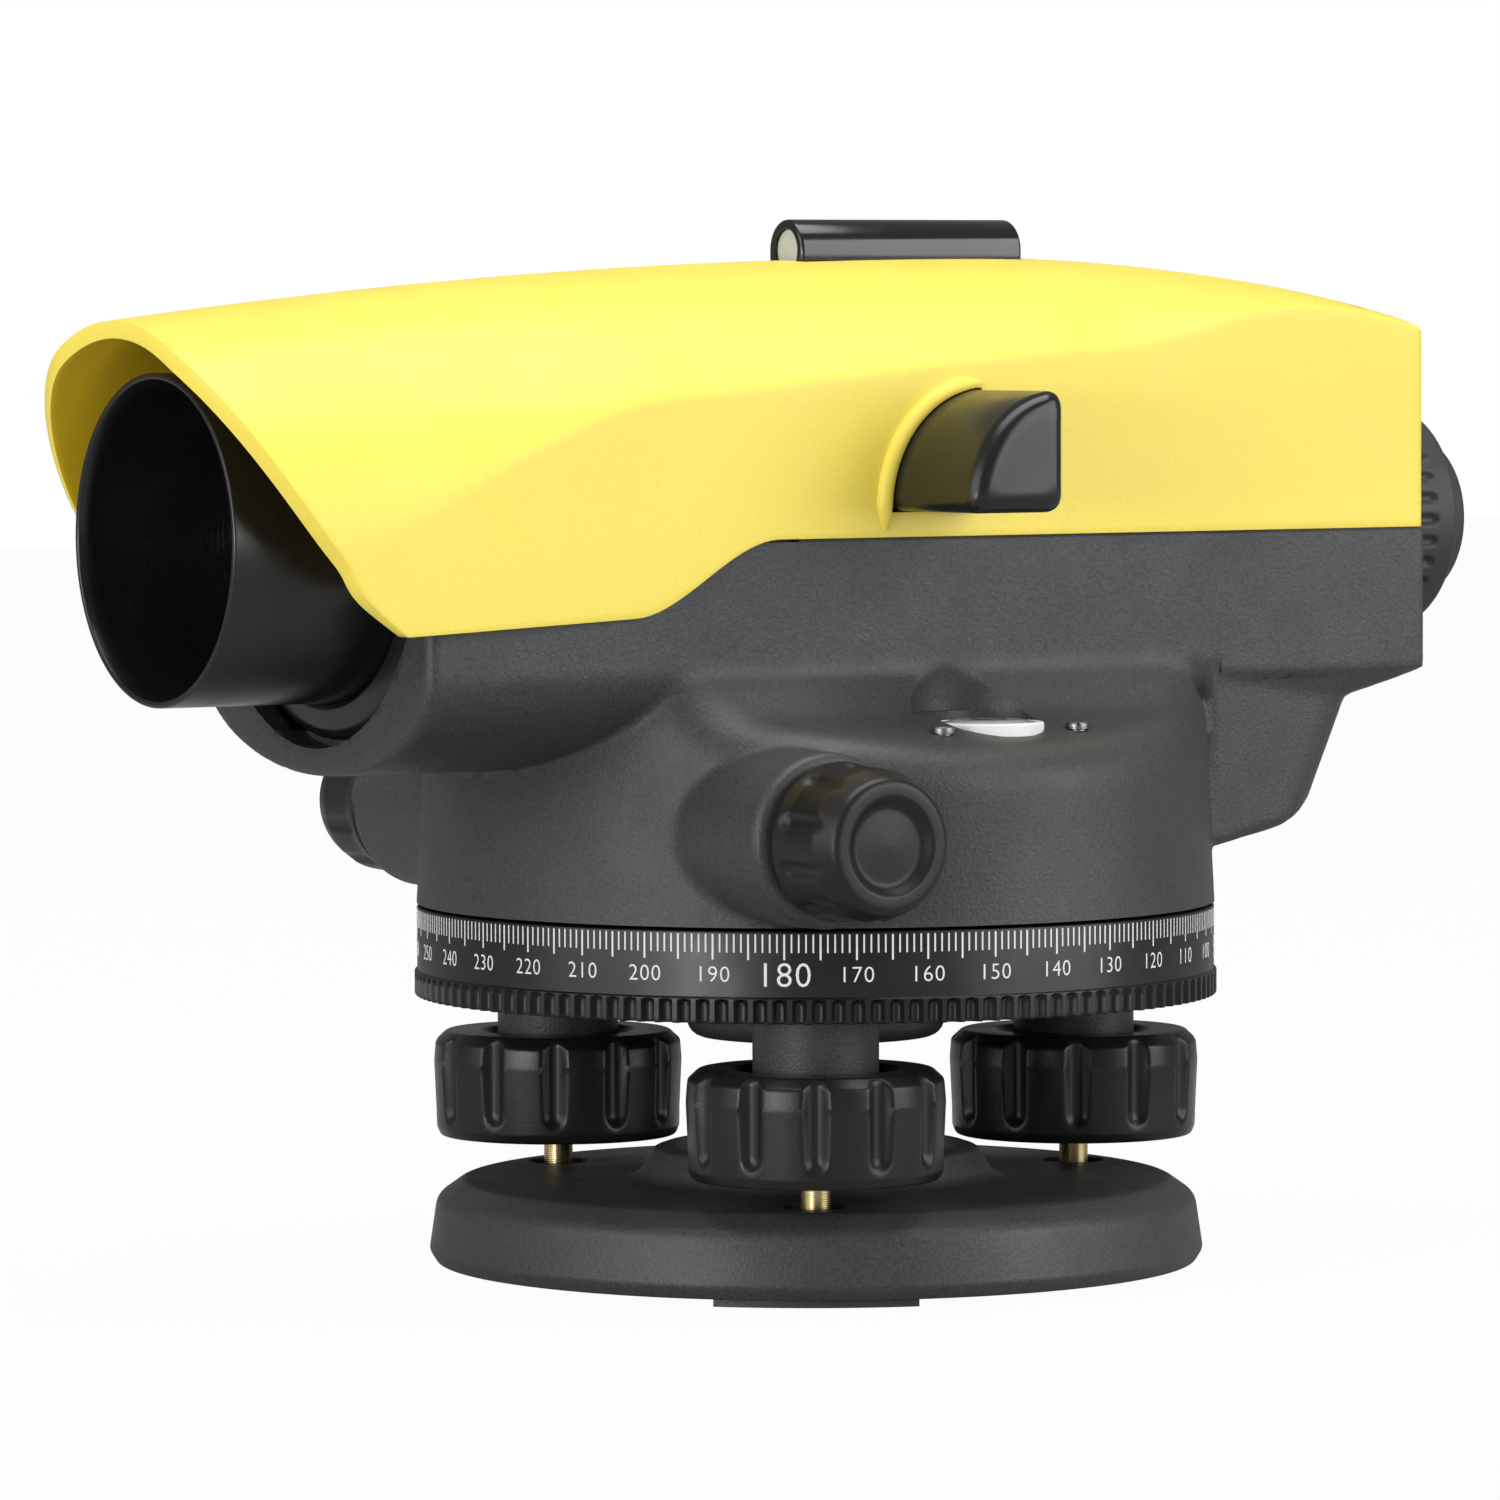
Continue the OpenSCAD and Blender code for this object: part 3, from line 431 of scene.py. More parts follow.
def add_studio():
    floor_half = 3.0
    corners = np.array([[-1, -1, 0], [1, -1, 0], [1, 1, 0], [-1, 1, 0]]) * floor_half / MM
    floor = new_object("floor", (corners, [[0, 1, 2, 3]]))
    white = coated("floor_white", (0.32, 0.32, 0.32), 0.8, 3, 0.001, 0.005, mottling=0.005, specular=0.1)
    shader = white.node_tree.nodes["Principled BSDF"]
    set_inputs(shader, {"Emission Color": (1, 1, 1, 1), "Emission Strength": 0.12})
    white_to_camera(white.node_tree, shader.outputs["BSDF"], "Material Output", 0.96)
    floor.data.materials.append(white)
    bpy.context.scene.view_settings.view_transform = "Standard"
    world = bpy.data.worlds.new("world")
    world.use_nodes = True
    lit = world.node_tree.nodes["Background"]
    set_inputs(lit, {"Color": (1, 1, 1, 1), "Strength": 0.22})
    white_to_camera(world.node_tree, lit.outputs["Background"], "World Output", 1.0)
    bpy.context.scene.world = world
    aim = (0, 0, 0.07)
    add_light("left_panel", (-1.45, -0.02, 0.4), aim, (1.4, 1.0), 12)
    add_light("right_panel", (0.85, -1.2, 0.5), aim, (1.3, 1.1), 17)
    add_light("top", (0.0, -0.1, 1.3), aim, (1.2, 0.9), 15)
    add_light("low_front", (-1.3, -0.62, 0.1), (-0.1, 0, 0.11), (0.5, 0.3), 6)


add_camera()
add_studio()


# --- top cover ---

COVER_WALL = 2.2
HOOD_LOW = 85.0
CROWN_X = 22.0
CROWN_Z = 131.6


def smooth(t):
    """Eased step from 0 to 1."""
    t = np.clip(t, 0, 1)
    return t * t * (3 - 2 * t)


def ramp(t):
    """The value itself, held between 0 and 1."""
    return np.clip(t, 0, 1)


def cover_edge(x):
    """Lower edge of the cover: the hood's skirt, an S-curve up, then the joint with the housing."""
    skirt = HOOD_LOW + 1.5 * ramp((x + 79) / 33)
    return skirt + (SEAM_Z - HOOD_LOW - 1.5) * smooth((x + 46.5) / 22)


def cover_crown(x):
    front = CROWN_Z - 7.8 * (np.maximum(CROWN_X - x, 0) / 125) ** 2
    return front - 6 * (np.maximum(x - CROWN_X, 0) / 55) ** 2.2


def cover_shoulder(x):
    side = 91.7 + 22.3 * smooth((x + 103) / 66) + 5.6 * ramp((x + 37) / 57)
    return side + (cover_crown(x) - 3.6 - side) * smooth((x - 24) / 42)


def cover_half_width(x):
    return 32.3 - 1.9 * smooth((x + 95) / 65) - 0.8 * ramp(x / REAR_X)


def cover_roundness(x):
    return 1 + 0.8 * smooth((x + 100) / 63)


def cover_section(x, u, inset):
    """Y and Z of the section at x, for u from -1 at one lower edge to 1 at the other."""
    width = cover_half_width(x) - inset
    shoulder = cover_shoulder(x) - inset / 2
    rise = cover_crown(x) - inset - shoulder
    v = np.abs(u) / 0.72
    angle = np.minimum(v, 1) * math.pi / 2
    y = width * np.sin(angle) * np.sign(u)
    roof = shoulder + rise * np.maximum(np.cos(angle), 0) ** cover_roundness(x)
    wall = shoulder + (cover_edge(x) - shoulder) * (v - 1) / (1 / 0.72 - 1)
    return y, np.where(v <= 1, roof, wall)


def hood_rake(z):
    """How far the hood's front edge is set back at a height."""
    return 18.8 * ramp((120 - z) / 35) ** 1.15 + 5 * ramp((89.5 - z) / 4.7) ** 2


def cover_surface(stations, u, inset):
    """Grid of points of the outer or inner surface."""
    stations, u = np.meshgrid(stations, u, indexing="ij")
    inset = np.broadcast_to(np.asarray(inset, float).reshape(-1, 1), stations.shape)
    _, z = cover_section(stations, u, 0)
    x = stations + hood_rake(z) * (1 - ramp((stations - HOOD_X) / 53))
    y, z = cover_section(x, u, inset)
    return np.stack([x, y, z], -1)


def softened(points, rounds=10):
    """Rounds the crease along the shoulder by averaging along each section."""
    for _ in range(rounds):
        inner = points[:, 1:-1]
        inner += 0.5 * ((points[:, :-2] + points[:, 2:]) / 2 - inner)
    return points


def cover_shape():
    rows, cols, rear_round = 170, 176, 1.6
    u = np.linspace(-1, 1, cols)
    arc = np.linspace(0, math.pi / 2, 7)[1:]
    stations = np.concatenate([np.linspace(HOOD_X, REAR_X - rear_round, rows),
                               REAR_X - rear_round + rear_round * np.sin(arc)])
    inset = np.concatenate([np.zeros(rows), rear_round * (1 - np.cos(arc))])
    outer = softened(cover_surface(stations, u, inset))
    inner = softened(cover_surface(np.linspace(HOOD_X, REAR_X - COVER_WALL, rows), u, COVER_WALL))
    return outer, inner


def cover_object():
    """Closed shell from the outer and inner surfaces, with its rims joined and rounded."""
    outer, inner = cover_shape()
    rows, cols = outer.shape[:2]
    inner_rows = inner.shape[0]
    points = np.concatenate([outer.reshape(-1, 3), inner.reshape(-1, 3)])
    start = rows * cols
    outer_faces = grid_faces(rows, cols)
    inner_faces = [[i + start for i in face[::-1]] for face in grid_faces(inner_rows, cols)]
    front = [[j + 1, j, start + j, start + j + 1] for j in range(cols - 1)]
    sides = []
    for column, turn in ((0, 1), (cols - 1, -1)):
        outer_line = [i * cols + column for i in range(rows)]
        inner_line = [start + i * cols + column for i in range(inner_rows)]
        shared = min(rows, inner_rows)
        for i in range(shared - 1):
            quad = [outer_line[i], outer_line[i + 1], inner_line[i + 1], inner_line[i]]
            sides.append(quad[::turn])
        tail = outer_line[shared - 1:] + [inner_line[-1]]
        sides.append(tail[::turn])
    last, inner_last = (rows - 1) * cols, start + (inner_rows - 1) * cols
    caps = [[last + j for j in range(cols)], [inner_last + j for j in range(cols)][::-1]]
    caps.append([last + cols - 1, inner_last + cols - 1, inner_last, last])
    return new_object("top_cover_shell", (points, outer_faces + inner_faces + front + sides + caps))


def prism_outline(grow):
    """Quarter oval of the bubble prism's housing in X and Z, grown all round."""
    corner_x, corner_z = prism_high[0], prism_low[2]
    width, height = prism_high[0] - prism_low[0] + grow, prism_high[2] - prism_low[2] + grow
    first = -math.asin(grow / height)
    last = math.pi / 2 + math.asin(grow / width)
    arc = [(corner_x - width * math.cos(a), corner_z + height * math.sin(a))
           for a in np.linspace(first, last, 40)]
    return arc + [(corner_x + grow, corner_z - grow)]


def along_y(outline, y_low, y_high):
    """Extrudes an outline of (x, z) between two values of Y."""
    points, faces = prism(outline, y_low, y_high)
    return points[:, [0, 2, 1]], [face[::-1] for face in faces]


def paint_inside(cover):
    """Gives the faces that look toward the optical axis a painted-shade copy of the yellow: darker and
    deeper, standing in for the shade and bounced light inside the hood.
    """
    cover.data.materials.append(YELLOW_PAINTED_SHADE)
    for face in cover.data.polygons:
        outward = Vector((0, face.center.y, face.center.z - AXIS_Z * MM))
        if face.normal.dot(outward) < -0.3 * outward.length:
            face.material_index = 1


def ridge(wall):
    """Soft raised ridge on the cover's wall, round the front and top of the prism's housing."""
    grow, thick, foot = 0.7, 1.25, 2.4
    width, height = prism_high[0] - prism_low[0] + grow, prism_high[2] - prism_low[2] + grow
    arc = np.linspace(0, math.pi / 2, 40)
    spine = [(prism_high[0] - width, prism_low[2] - foot * k) for k in (1, 0.8, 0.5, 0.25)]
    spine += [(prism_high[0] - width * math.cos(a), prism_low[2] + height * math.sin(a)) for a in arc]
    spine = np.array(spine)
    forward = np.gradient(spine, axis=0)
    forward /= np.linalg.norm(forward, axis=1)[:, None]
    outward = np.stack([-forward[:, 1], forward[:, 0]], -1)
    along = np.r_[0, np.cumsum(np.linalg.norm(np.diff(spine, axis=0), axis=1))]
    radius = thick * np.sqrt(np.clip(np.minimum(along + 0.3, along[-1] - along + 0.15) / 3.5, 0, 1))
    turn = np.arange(16) * TAU / 16
    flat = spine[:, None] + outward[:, None] * (radius[:, None] * np.cos(turn))[..., None]
    depth = wall + radius[:, None] * np.sin(turn)
    points = np.stack([flat[..., 0], depth, flat[..., 1]], -1)
    count = len(spine)
    faces = grid_faces(count, 16, wrap_cols=True)
    faces += [list(range(16))[::-1], list(range((count - 1) * 16, count * 16))]
    return points.reshape(-1, 3), faces


def make_cover():
    cover = cover_object()
    wall = -BODY_HALF_W - 0.9
    hole = along_y(prism_outline(0.15), wall - 5, wall + 10)
    carved(cover, ridge(wall), "UNION")
    carved(cover, hole)
    half = sight_high[1] + 0.15
    seat = rounded([(sight_low[0] - 0.15, -half, 1), (sight_high[0] + 0.15, -half, 1),
                    (sight_high[0] + 0.15, half, 1), (sight_low[0] - 0.15, half, 1)], closed=True)
    carved(cover, prism(seat, sight_low[2], sight_low[2] + 20))
    carved(cover, turned(plug(EYEPIECE_HOLE_R, -5, 5, 96), "X", (REAR_X, 0, AXIS_Z)))
    for side in (-1, 1):
        well = lathe(rounded([(0, 0), (2.2, 0), (2.2, 3.4, 0.3), (2.9, 4.2), (3.4, 12), (0, 12)]), 48)
        carved(cover, turned(well, at=(69, side * 22.5, 119.9)))
    bevelled(cover, 0.3, 2, 50)
    piece(cover, "alidade", "cover_yellow", YELLOW, "top_cover", sharp_angle=40)
    # paints shade on the hood's inner faces with the darker yellow copy
    paint_inside(cover)


make_cover()


# --- lower housing: a blended field turned into a mesh ---

def smooth_min(a, b, k):
    """The smaller value, with a blend about k wide where the two are near."""
    h = np.clip(0.5 + 0.5 * (b - a) / k, 0, 1)
    return b * (1 - h) + a * h - k * h * (1 - h)


def smooth_max(a, b, k):
    return -smooth_min(-a, -b, k)


def belly_field(x, y, z, half_w, depth):
    """Straight walls on a half-ellipse belly: distance from the section's outline."""
    drop = np.minimum(z - 80, 0)
    q = np.sqrt((y / half_w) ** 2 + (drop / depth) ** 2) + 1e-9
    slope = np.sqrt((y / half_w ** 2) ** 2 + (drop / depth ** 2) ** 2) / q + 1e-9
    return (q - 1) / slope


def plane(x, z, x0, z0, x1, z1):
    """Distance outside the line from (x0, z0) to (x1, z1), outside being on its right."""
    length = math.hypot(x1 - x0, z1 - z0)
    return ((z1 - z0) * (x - x0) - (x1 - x0) * (z - z0)) / length


def rear_slope(x, z):
    """Distance below the sloping underside behind the rear block."""
    return plane(x, z, 66, 73.4, REAR_X + 0.5, 77.2)


def shelf_height(side):
    """Height of the shelf beside the telescope part, which curves up to meet it."""
    away = np.maximum(side, BODY_HALF_W)
    return 72.8 + 0.26 * (37 - away) + 4.4 * (np.maximum(37.5 - away, 0) / 8.1) ** 2.6


def housing_outside(x, y, z):
    """Field of the housing's outer shape, below zero inside it."""
    side = np.abs(y)
    belly = smooth_max(belly_field(x, y, z, BODY_HALF_W, 13.6), NOSE_X - x, 1.6)
    belly = smooth_max(belly, np.minimum(rear_slope(x, z), x - 57), 1.2)
    r = np.hypot(x, y)
    drum_wall = r - (CIRCLE_R - 0.9 * (z - DRUM_BOTTOM_Z) / 17)
    away = np.maximum(side, BODY_HALF_W)
    rise = np.maximum(37.5 - away, 0) / 8.1
    shelf = z - shelf_height(side)
    shelf = shelf / np.hypot(1, 0.26 + 1.41 * rise ** 1.6)
    drum = smooth_max(drum_wall, shelf, 5.0)
    drum = smooth_max(drum, x - DRUM_END_X, 2.0)
    body = smooth_min(belly, drum, 0.8)
    body = smooth_min(body, smooth_max(smooth_max(drum_wall, z - 75, 3.0), 40 - x, 1.0), 0.8)
    # rear block under the compensator, and the square overhang above it
    block_side = side - (29.3 - 3.1 * ramp((x - 42) / 28))
    block = smooth_max(block_side, 41.5 - x, 3.0)
    block = smooth_max(block, plane(x, z, 44, 54.8, 57.5, 57.4), 1.5)
    block = smooth_max(block, plane(x, z, 60.5, 57.2, 69, 74.5), 6)
    block = smooth_max(block, z - 77.4, 0.5)
    overhang = smooth_max(side - BODY_HALF_W, rear_slope(x, z), 1.2)
    overhang = smooth_max(np.maximum(overhang, 44 - x), OVERHANG_Z - z, 0.8)
    body = np.minimum(smooth_min(body, block, 0.8), overhang)
    body = smooth_max(body, x - REAR_X, 0.8)
    # sleeves of the tangent drive
    sleeve = smooth_max(np.hypot(x - TANGENT_X, z - TANGENT_Z) - SLEEVE_R, side - SLEEVE_Y, 1.6)
    sleeve = np.maximum(sleeve, 30 - side)
    body = smooth_min(body, sleeve, 0.9)
    # nose plate that stands up inside the hood
    nose_r = np.hypot(y, z - AXIS_Z)
    nose = np.maximum(np.maximum(nose_r - 27.9, NOSE_X - x), x - NOSE_X - HOUSING_WALL)
    return smooth_min(np.maximum(body, z - (SEAM_Z - 0.4)), nose, 0.4)


def housing_inside(x, y, z):
    """Field of the hollow in the telescope part and the drum."""
    side = np.abs(y)
    belly = np.maximum(belly_field(x, y, z, BODY_HALF_W - HOUSING_WALL, 12.6), SHOULDER_Z - z)
    belly = np.maximum(np.maximum(belly, NOSE_X + HOUSING_WALL - x), x - (REAR_X - HOUSING_WALL))
    drum = np.maximum(np.hypot(x, y) - DRUM_HOLLOW_R, z - 67.5)
    block_floor = np.maximum(33 - x, z - 61)
    drum = np.maximum(drum, -np.maximum(block_floor, side - 30))
    pocket = np.maximum(np.maximum(36 - x, x - 57), np.maximum(side - 20, np.maximum(61 - z, z - 75)))
    return np.minimum(np.minimum(belly, drum), pocket)


def housing_field(x, y, z):
    """Field of the whole casting with its holes."""
    side = np.abs(y)
    solid = smooth_max(housing_outside(x, y, z), -housing_inside(x, y, z), 0.3)
    solid = np.maximum(solid, DRUM_BOTTOM_Z - z)
    nose_r = np.hypot(y, z - AXIS_Z)
    opening = np.maximum(nose_r - NOSE_HOLE_R, np.maximum(NOSE_X - 2 - x, x - NOSE_X - 4))
    solid = smooth_max(solid, -opening, 0.5)
    eyepiece_hole = np.maximum(nose_r - EYEPIECE_HOLE_R, REAR_X - 4 - x)
    shaft = np.maximum(np.hypot(x - TANGENT_X, z - TANGENT_Z) - 5, 20 - side)
    vial_r = np.hypot(x - vial_middle[0], y - vial_middle[1])
    # domed recess over the vial, a little toward the objective, cut into the wall behind it
    recess_r = np.hypot(x - vial_middle[0] + 1.8, y - vial_middle[1])
    dome = 8.4 * np.sqrt(np.maximum(1 - (np.maximum(z - 74, 0) / 12.3) ** 2, 0))
    above = np.maximum(73.7 - z, recess_r - dome)
    well = np.minimum(np.maximum(vial_r - VIAL_WELL_R, np.maximum(66 - z, z - 75)), above)
    for place in screw_places:
        head = np.maximum(np.hypot(x - place[0], y - place[1]) - 1.75, screw_high[2] - 0.95 - z)
        well = np.minimum(well, np.maximum(head, z - 80))
    focus_r = np.hypot(x - FOCUS_X, z - FOCUS_Z)
    focus = np.maximum(focus_r - 4, 20 - y)
    knob_room = np.maximum(focus_r - 15.6, 30.8 - y)
    for hole, k in ((eyepiece_hole, 0.3), (shaft, 0.4), (focus, 0.3), (knob_room, 0.5), (well, 0.25)):
        solid = smooth_max(solid, -hole, k)
    return solid


def net_surface(field, low, high, step):
    """Mesh of the zero level of a field: one point in each grid cell that the level passes through, set
    where the planes found along the cell's edges meet, so that sharp edges stay sharp."""
    low = np.array(low, float)
    axes = [np.arange(a, b + step, step) for a, b in zip(low, high)]
    values = field(*np.meshgrid(*axes, indexing="ij"))
    shape = np.array(values.shape) - 1
    crossings = []
    touched = np.zeros(shape, bool)
    for axis in range(3):
        first = np.take(values, range(shape[axis]), axis) < 0
        second = np.take(values, range(1, shape[axis] + 1), axis) < 0
        start = np.argwhere(first != second)
        others = [a for a in range(3) if a != axis]
        start = start[np.all((start[:, others] > 0) & (start[:, others] < shape[others]), axis=1)]
        solid_first = first[tuple(start.T)]
        near = low + start * step
        far = near + np.eye(3)[axis] * step
        for _ in range(8):
            centre = (near + far) / 2
            before = (field(*centre.T) < 0) == solid_first
            near = np.where(before[:, None], centre, near)
            far = np.where(before[:, None], far, centre)
        crossings.append((axis, start, solid_first, (near + far) / 2))
        for cell in around(start, axis):
            touched[tuple(cell.T)] = True
    cells = np.argwhere(touched)
    number = np.full(shape, -1, np.int64)
    number[tuple(cells.T)] = np.arange(len(cells))
    spread = np.zeros((len(cells), 3, 3))
    pull = np.zeros((len(cells), 3))
    mass = np.zeros((len(cells), 4))
    quads = []
    probe = 0.02
    for axis, start, solid_first, spot in crossings:
        normal = np.stack([field(*(spot + np.eye(3)[k] * probe).T) - field(*(spot - np.eye(3)[k] * probe).T)
                           for k in range(3)], 1)
        normal /= np.maximum(np.linalg.norm(normal, axis=1), 1e-9)[:, None]
        outer = normal[:, :, None] * normal[:, None, :]
        offset = np.einsum("ni,ni->n", normal, spot)[:, None] * normal
        ring = []
        for cell in around(start, axis):
            index = number[tuple(cell.T)]
            np.add.at(spread, index, outer)
            np.add.at(pull, index, offset)
            np.add.at(mass, index, np.c_[spot, np.ones(len(spot))])
            ring.append(index)
        quad = np.stack([ring[0], ring[1], ring[3], ring[2]], 1)
        flip = solid_first if axis == 1 else ~solid_first
        quad[flip] = quad[flip][:, ::-1]
        quads.append(quad)
    centre = mass[:, :3] / mass[:, 3:]
    rest = pull - np.einsum("nij,nj->ni", spread, centre)
    move = np.linalg.solve(spread + 0.06 * np.eye(3), rest[..., None])[..., 0]
    corner = low + cells * step
    points = np.clip(centre + move, corner - 0.1 * step, corner + 1.1 * step)
    return points, np.concatenate(quads).tolist()


def around(start, axis):
    """The four cells round each grid edge that starts at these grid points and runs along the axis."""
    others = [a for a in range(3) if a != axis]
    cells = []
    for da in (0, 1):
        for db in (0, 1):
            cell = start.copy()
            cell[:, others[0]] -= da
            cell[:, others[1]] -= db
            cells.append(cell)
    return cells


def make_housing():
    step = 0.85
    low = (NOSE_X - 2, -DRUM_R - 2, 45)
    high = (REAR_X + 2, DRUM_R + 2, AXIS_Z + 30)
    housing = new_object("lower_housing_casting", net_surface(housing_field, low, high, step))
    piece(housing, "alidade", "housing_grey", GREY, "lower_housing", sharp_angle=50)


make_housing()

# --- objective: tube, ring, cell and lens ---

def grooves(radius, x_start, x_end, pitch, depth):
    """Outline points of fine turned anti-glare grooves along a bore."""
    points = []
    for x in np.arange(x_start, x_end, pitch):
        points += [(radius, x), (radius + depth, x + 0.4 * pitch), (radius, x + 0.8 * pitch)]
    return points


def make_objective():
    wall = 1.25
    back = tube_high[0]
    bore = TUBE_R - wall
    mouth = rounded([(TUBE_R, back), (TUBE_R, TUBE_X, 0.35), (bore + 0.5, TUBE_X, 0.35),
                     (bore + 0.1, TUBE_X + 1.2)])
    profile = mouth.tolist() + [(bore, TUBE_X + 2)]
    profile += grooves(bore, TUBE_X + 3, -74.5, 0.8, 0.04) + [(bore, back)]
    made("objective_tube_turned", on_axis(lathe(profile, 160, closed=True)),
         "alidade", "tube_black", TUBE, "objective_tube")
    ring = rounded([(TUBE_R + 0.05, -66.4), (TUBE_R + 0.05, -73.1, 0.4), (TUBE_R + 0.8, -73.6, 0.4),
                    (24.2, -73.2, 1.5), (25.5, -72.2, 1.2), (25.5, -66, 0.4), (24, -66), (24, -64),
                    (16.5, -64), (16.5, -65.8), (19.5, -65.8), (19.5, -66.4)], closed=True)
    made("nose_ring_turned", on_axis(lathe(ring, 144, closed=True)),
         "alidade", "tube_black", TUBE, "nose_ring")
    cell_low, cell_high = box_mm("objective_cell")
    front, back = cell_low[0], cell_high[0]
    cell = rounded([(19.55, back), (19.55, front, 0.3), (18.6, front, 0.3), (18.2, front + 0.9),
                    (17.85, front + 1.3), (17.85, back)], closed=True)
    ring_piece = new_object("objective_retaining_ring", on_axis(lathe(cell, 128, closed=True)))
    for side in (-1, 1):
        slot_shape = prism([(-0.6, -1), (0.6, -1), (0.6, 1), (-0.6, 1)], -1, 1)
        carved(ring_piece, turned(slot_shape, at=(front, side * 19, AXIS_Z)))
    piece(ring_piece, "alidade", "inner_black", INNER, "objective_cell")
    lens_low, lens_high = box_mm("objective_lens")
    lens_shape(lens_low[0], lens_high[0], 17.75, 2.2, "objective_doublet", "alidade", "objective_lens")


def lens_shape(x0, x1, radius, bulge, name, body, node):
    """Smooth biconvex lens on the optical axis."""
    v = np.linspace(0, 1, 20)
    front = np.c_[radius * v, x0 + bulge * v * v]
    back = np.c_[radius * v, x1 - bulge * v * v][::-1]
    made(name, on_axis(lathe(np.concatenate([front, back]), 96)), body, "glass", LENS, node)


make_objective()


# --- levelling base ---

def base_profile():
    high = 11.8
    return rounded([
        (12.05, 1), (BASE_R - 1, 1, 0.6), (BASE_R, 2.6, 1.4), (BASE_R - 1.0, high - 2.4, 2.6),
        (BASE_R - 4.4, high, 2.4), (23.4, high, 2.6), (21.1, high + 3.8, 1.0), (19.6, high + 4.3, 0.8),
        (14, high + 4.3, 0.6), (13.6, high + 3.6), (12.05, high + 3.2)
    ], closed=True, steps=8)


def circle_points(angles):
    """Points at these angles on a circle of radius 1."""
    return np.c_[np.cos(angles), np.sin(angles)]


def make_base():
    base = new_object("base_plate_casting", lathe(base_profile(), 192, closed=True))
    # three pads under the rim, and the three arms of the spring plate's recess
    first = math.atan2(FOOTSCREWS["front"][1], FOOTSCREWS["front"][0])
    bearings = [first + i * TAU / 3 for i in range(3)]
    for bearing in bearings:
        arc = circle_points(bearing + np.linspace(-0.27, 0.27, 16))
        outline = np.concatenate([arc * (BASE_R - 2), (arc * (BASE_R - 12.5))[::-1]])
        carved(base, prism(outline, 0, 1.6), "UNION")
    recess_top = box_mm("spring_plate")[1][2] + 0.4
    for bearing in bearings:
        tip = circle_points(bearing + np.linspace(-0.35, 0.35, 14)) * 45.1
        root = circle_points(bearing + np.array([0.7, -0.7])) * 15.9
        carved(base, prism(np.concatenate([tip, root]), -1, recess_top))
    for x, y in FOOTSCREWS.values():
        carved(base, upright(plug(5, -1, 4.3, 48), x, y))
        hole = rounded([(0, 4), (3.75, 4), (3.75, 11.3), (4.5, 12.2), (0, 12.2)])
        carved(base, upright(lathe(hole, 64), x, y))
        scale = 21 / math.hypot(x, y)
        carved(base, upright(plug(1.6, -1, 9, 24), x * scale, y * scale))
    bevelled(base, 0.25, 2, 50)
    piece(base, "base", "housing_grey", GREY, "base_plate")
    thread = [(12, 0), (12, 15), (7.6, 15)]
    pitch, crest, root = 2.31, 6.8, 7.7
    for k in range(6):
        low = 13.4 - k * pitch
        thread += [(root, low + pitch / 2), (crest, low), (crest, low - 0.3)]
    thread += [(root, 0.4), (7.9, 0)]
    made("tripod_bush_threaded", lathe(thread, 96, closed=True), "base", "brass", BRASS, "tripod_bush")


def tribrach_profile():
    return rounded([
        (11.05, 30.2), (16.8, 30.2, 2.2), (16.8, 36.6, 1.2), (48, 36.6, 0.8), (48, 43.9, 0.8),
        (40, 43.9, 0.2), (40, 46.3, 0.3), (14, 46.3, 0.6), (14, 63, 0.5), (11.05, 63)
    ], closed=True)


def make_tribrach():
    head = new_object("tribrach_casting", lathe(tribrach_profile(), 160, closed=True))
    for x, y in FOOTSCREWS.values():
        sleeve = rounded([(0, 27.6), (8, 27.6, 0.8), (8, 35.6, 0.8), (9, 37.2), (0, 37.2)])
        carved(head, upright(lathe(sleeve, 72), x, y), "UNION")
        carved(head, upright(plug(5.55, 26, 41.6, 64), x, y))
    bevelled(head, 0.3, 2, 50)
    piece(head, "levelling_head", "housing_grey", GREY, "tribrach")


def fluted(count, groove_r, centre_r, start, end, lip=0.35, phase=0.0):
    """Warp that presses rounded flutes into a knob between two heights. The knob points along +Z."""
    pitch = TAU / count

    def warp(angles, radius, height):
        nearest = (angles - phase + pitch / 2) % pitch - pitch / 2
        across = nearest * centre_r
        past = np.maximum(start - height, 0) + np.maximum(height - end, 0)
        distance = np.hypot(across, past)
        floor = centre_r - np.sqrt(np.maximum(groove_r ** 2 - distance ** 2, 0))
        floor = np.where(distance < groove_r, floor, centre_r)
        return np.where(radius > 0.55 * centre_r, smooth_min(radius, floor, lip), radius)

    return warp


def dense(outline, step):
    """The same closed outline with points no further apart than step."""
    result = []
    for a, b in zip(outline, np.roll(outline, -1, axis=0)):
        count = max(1, math.ceil(np.linalg.norm(b - a) / step))
        result += [a + (b - a) * k / count for k in range(count)]
    return np.array(result)


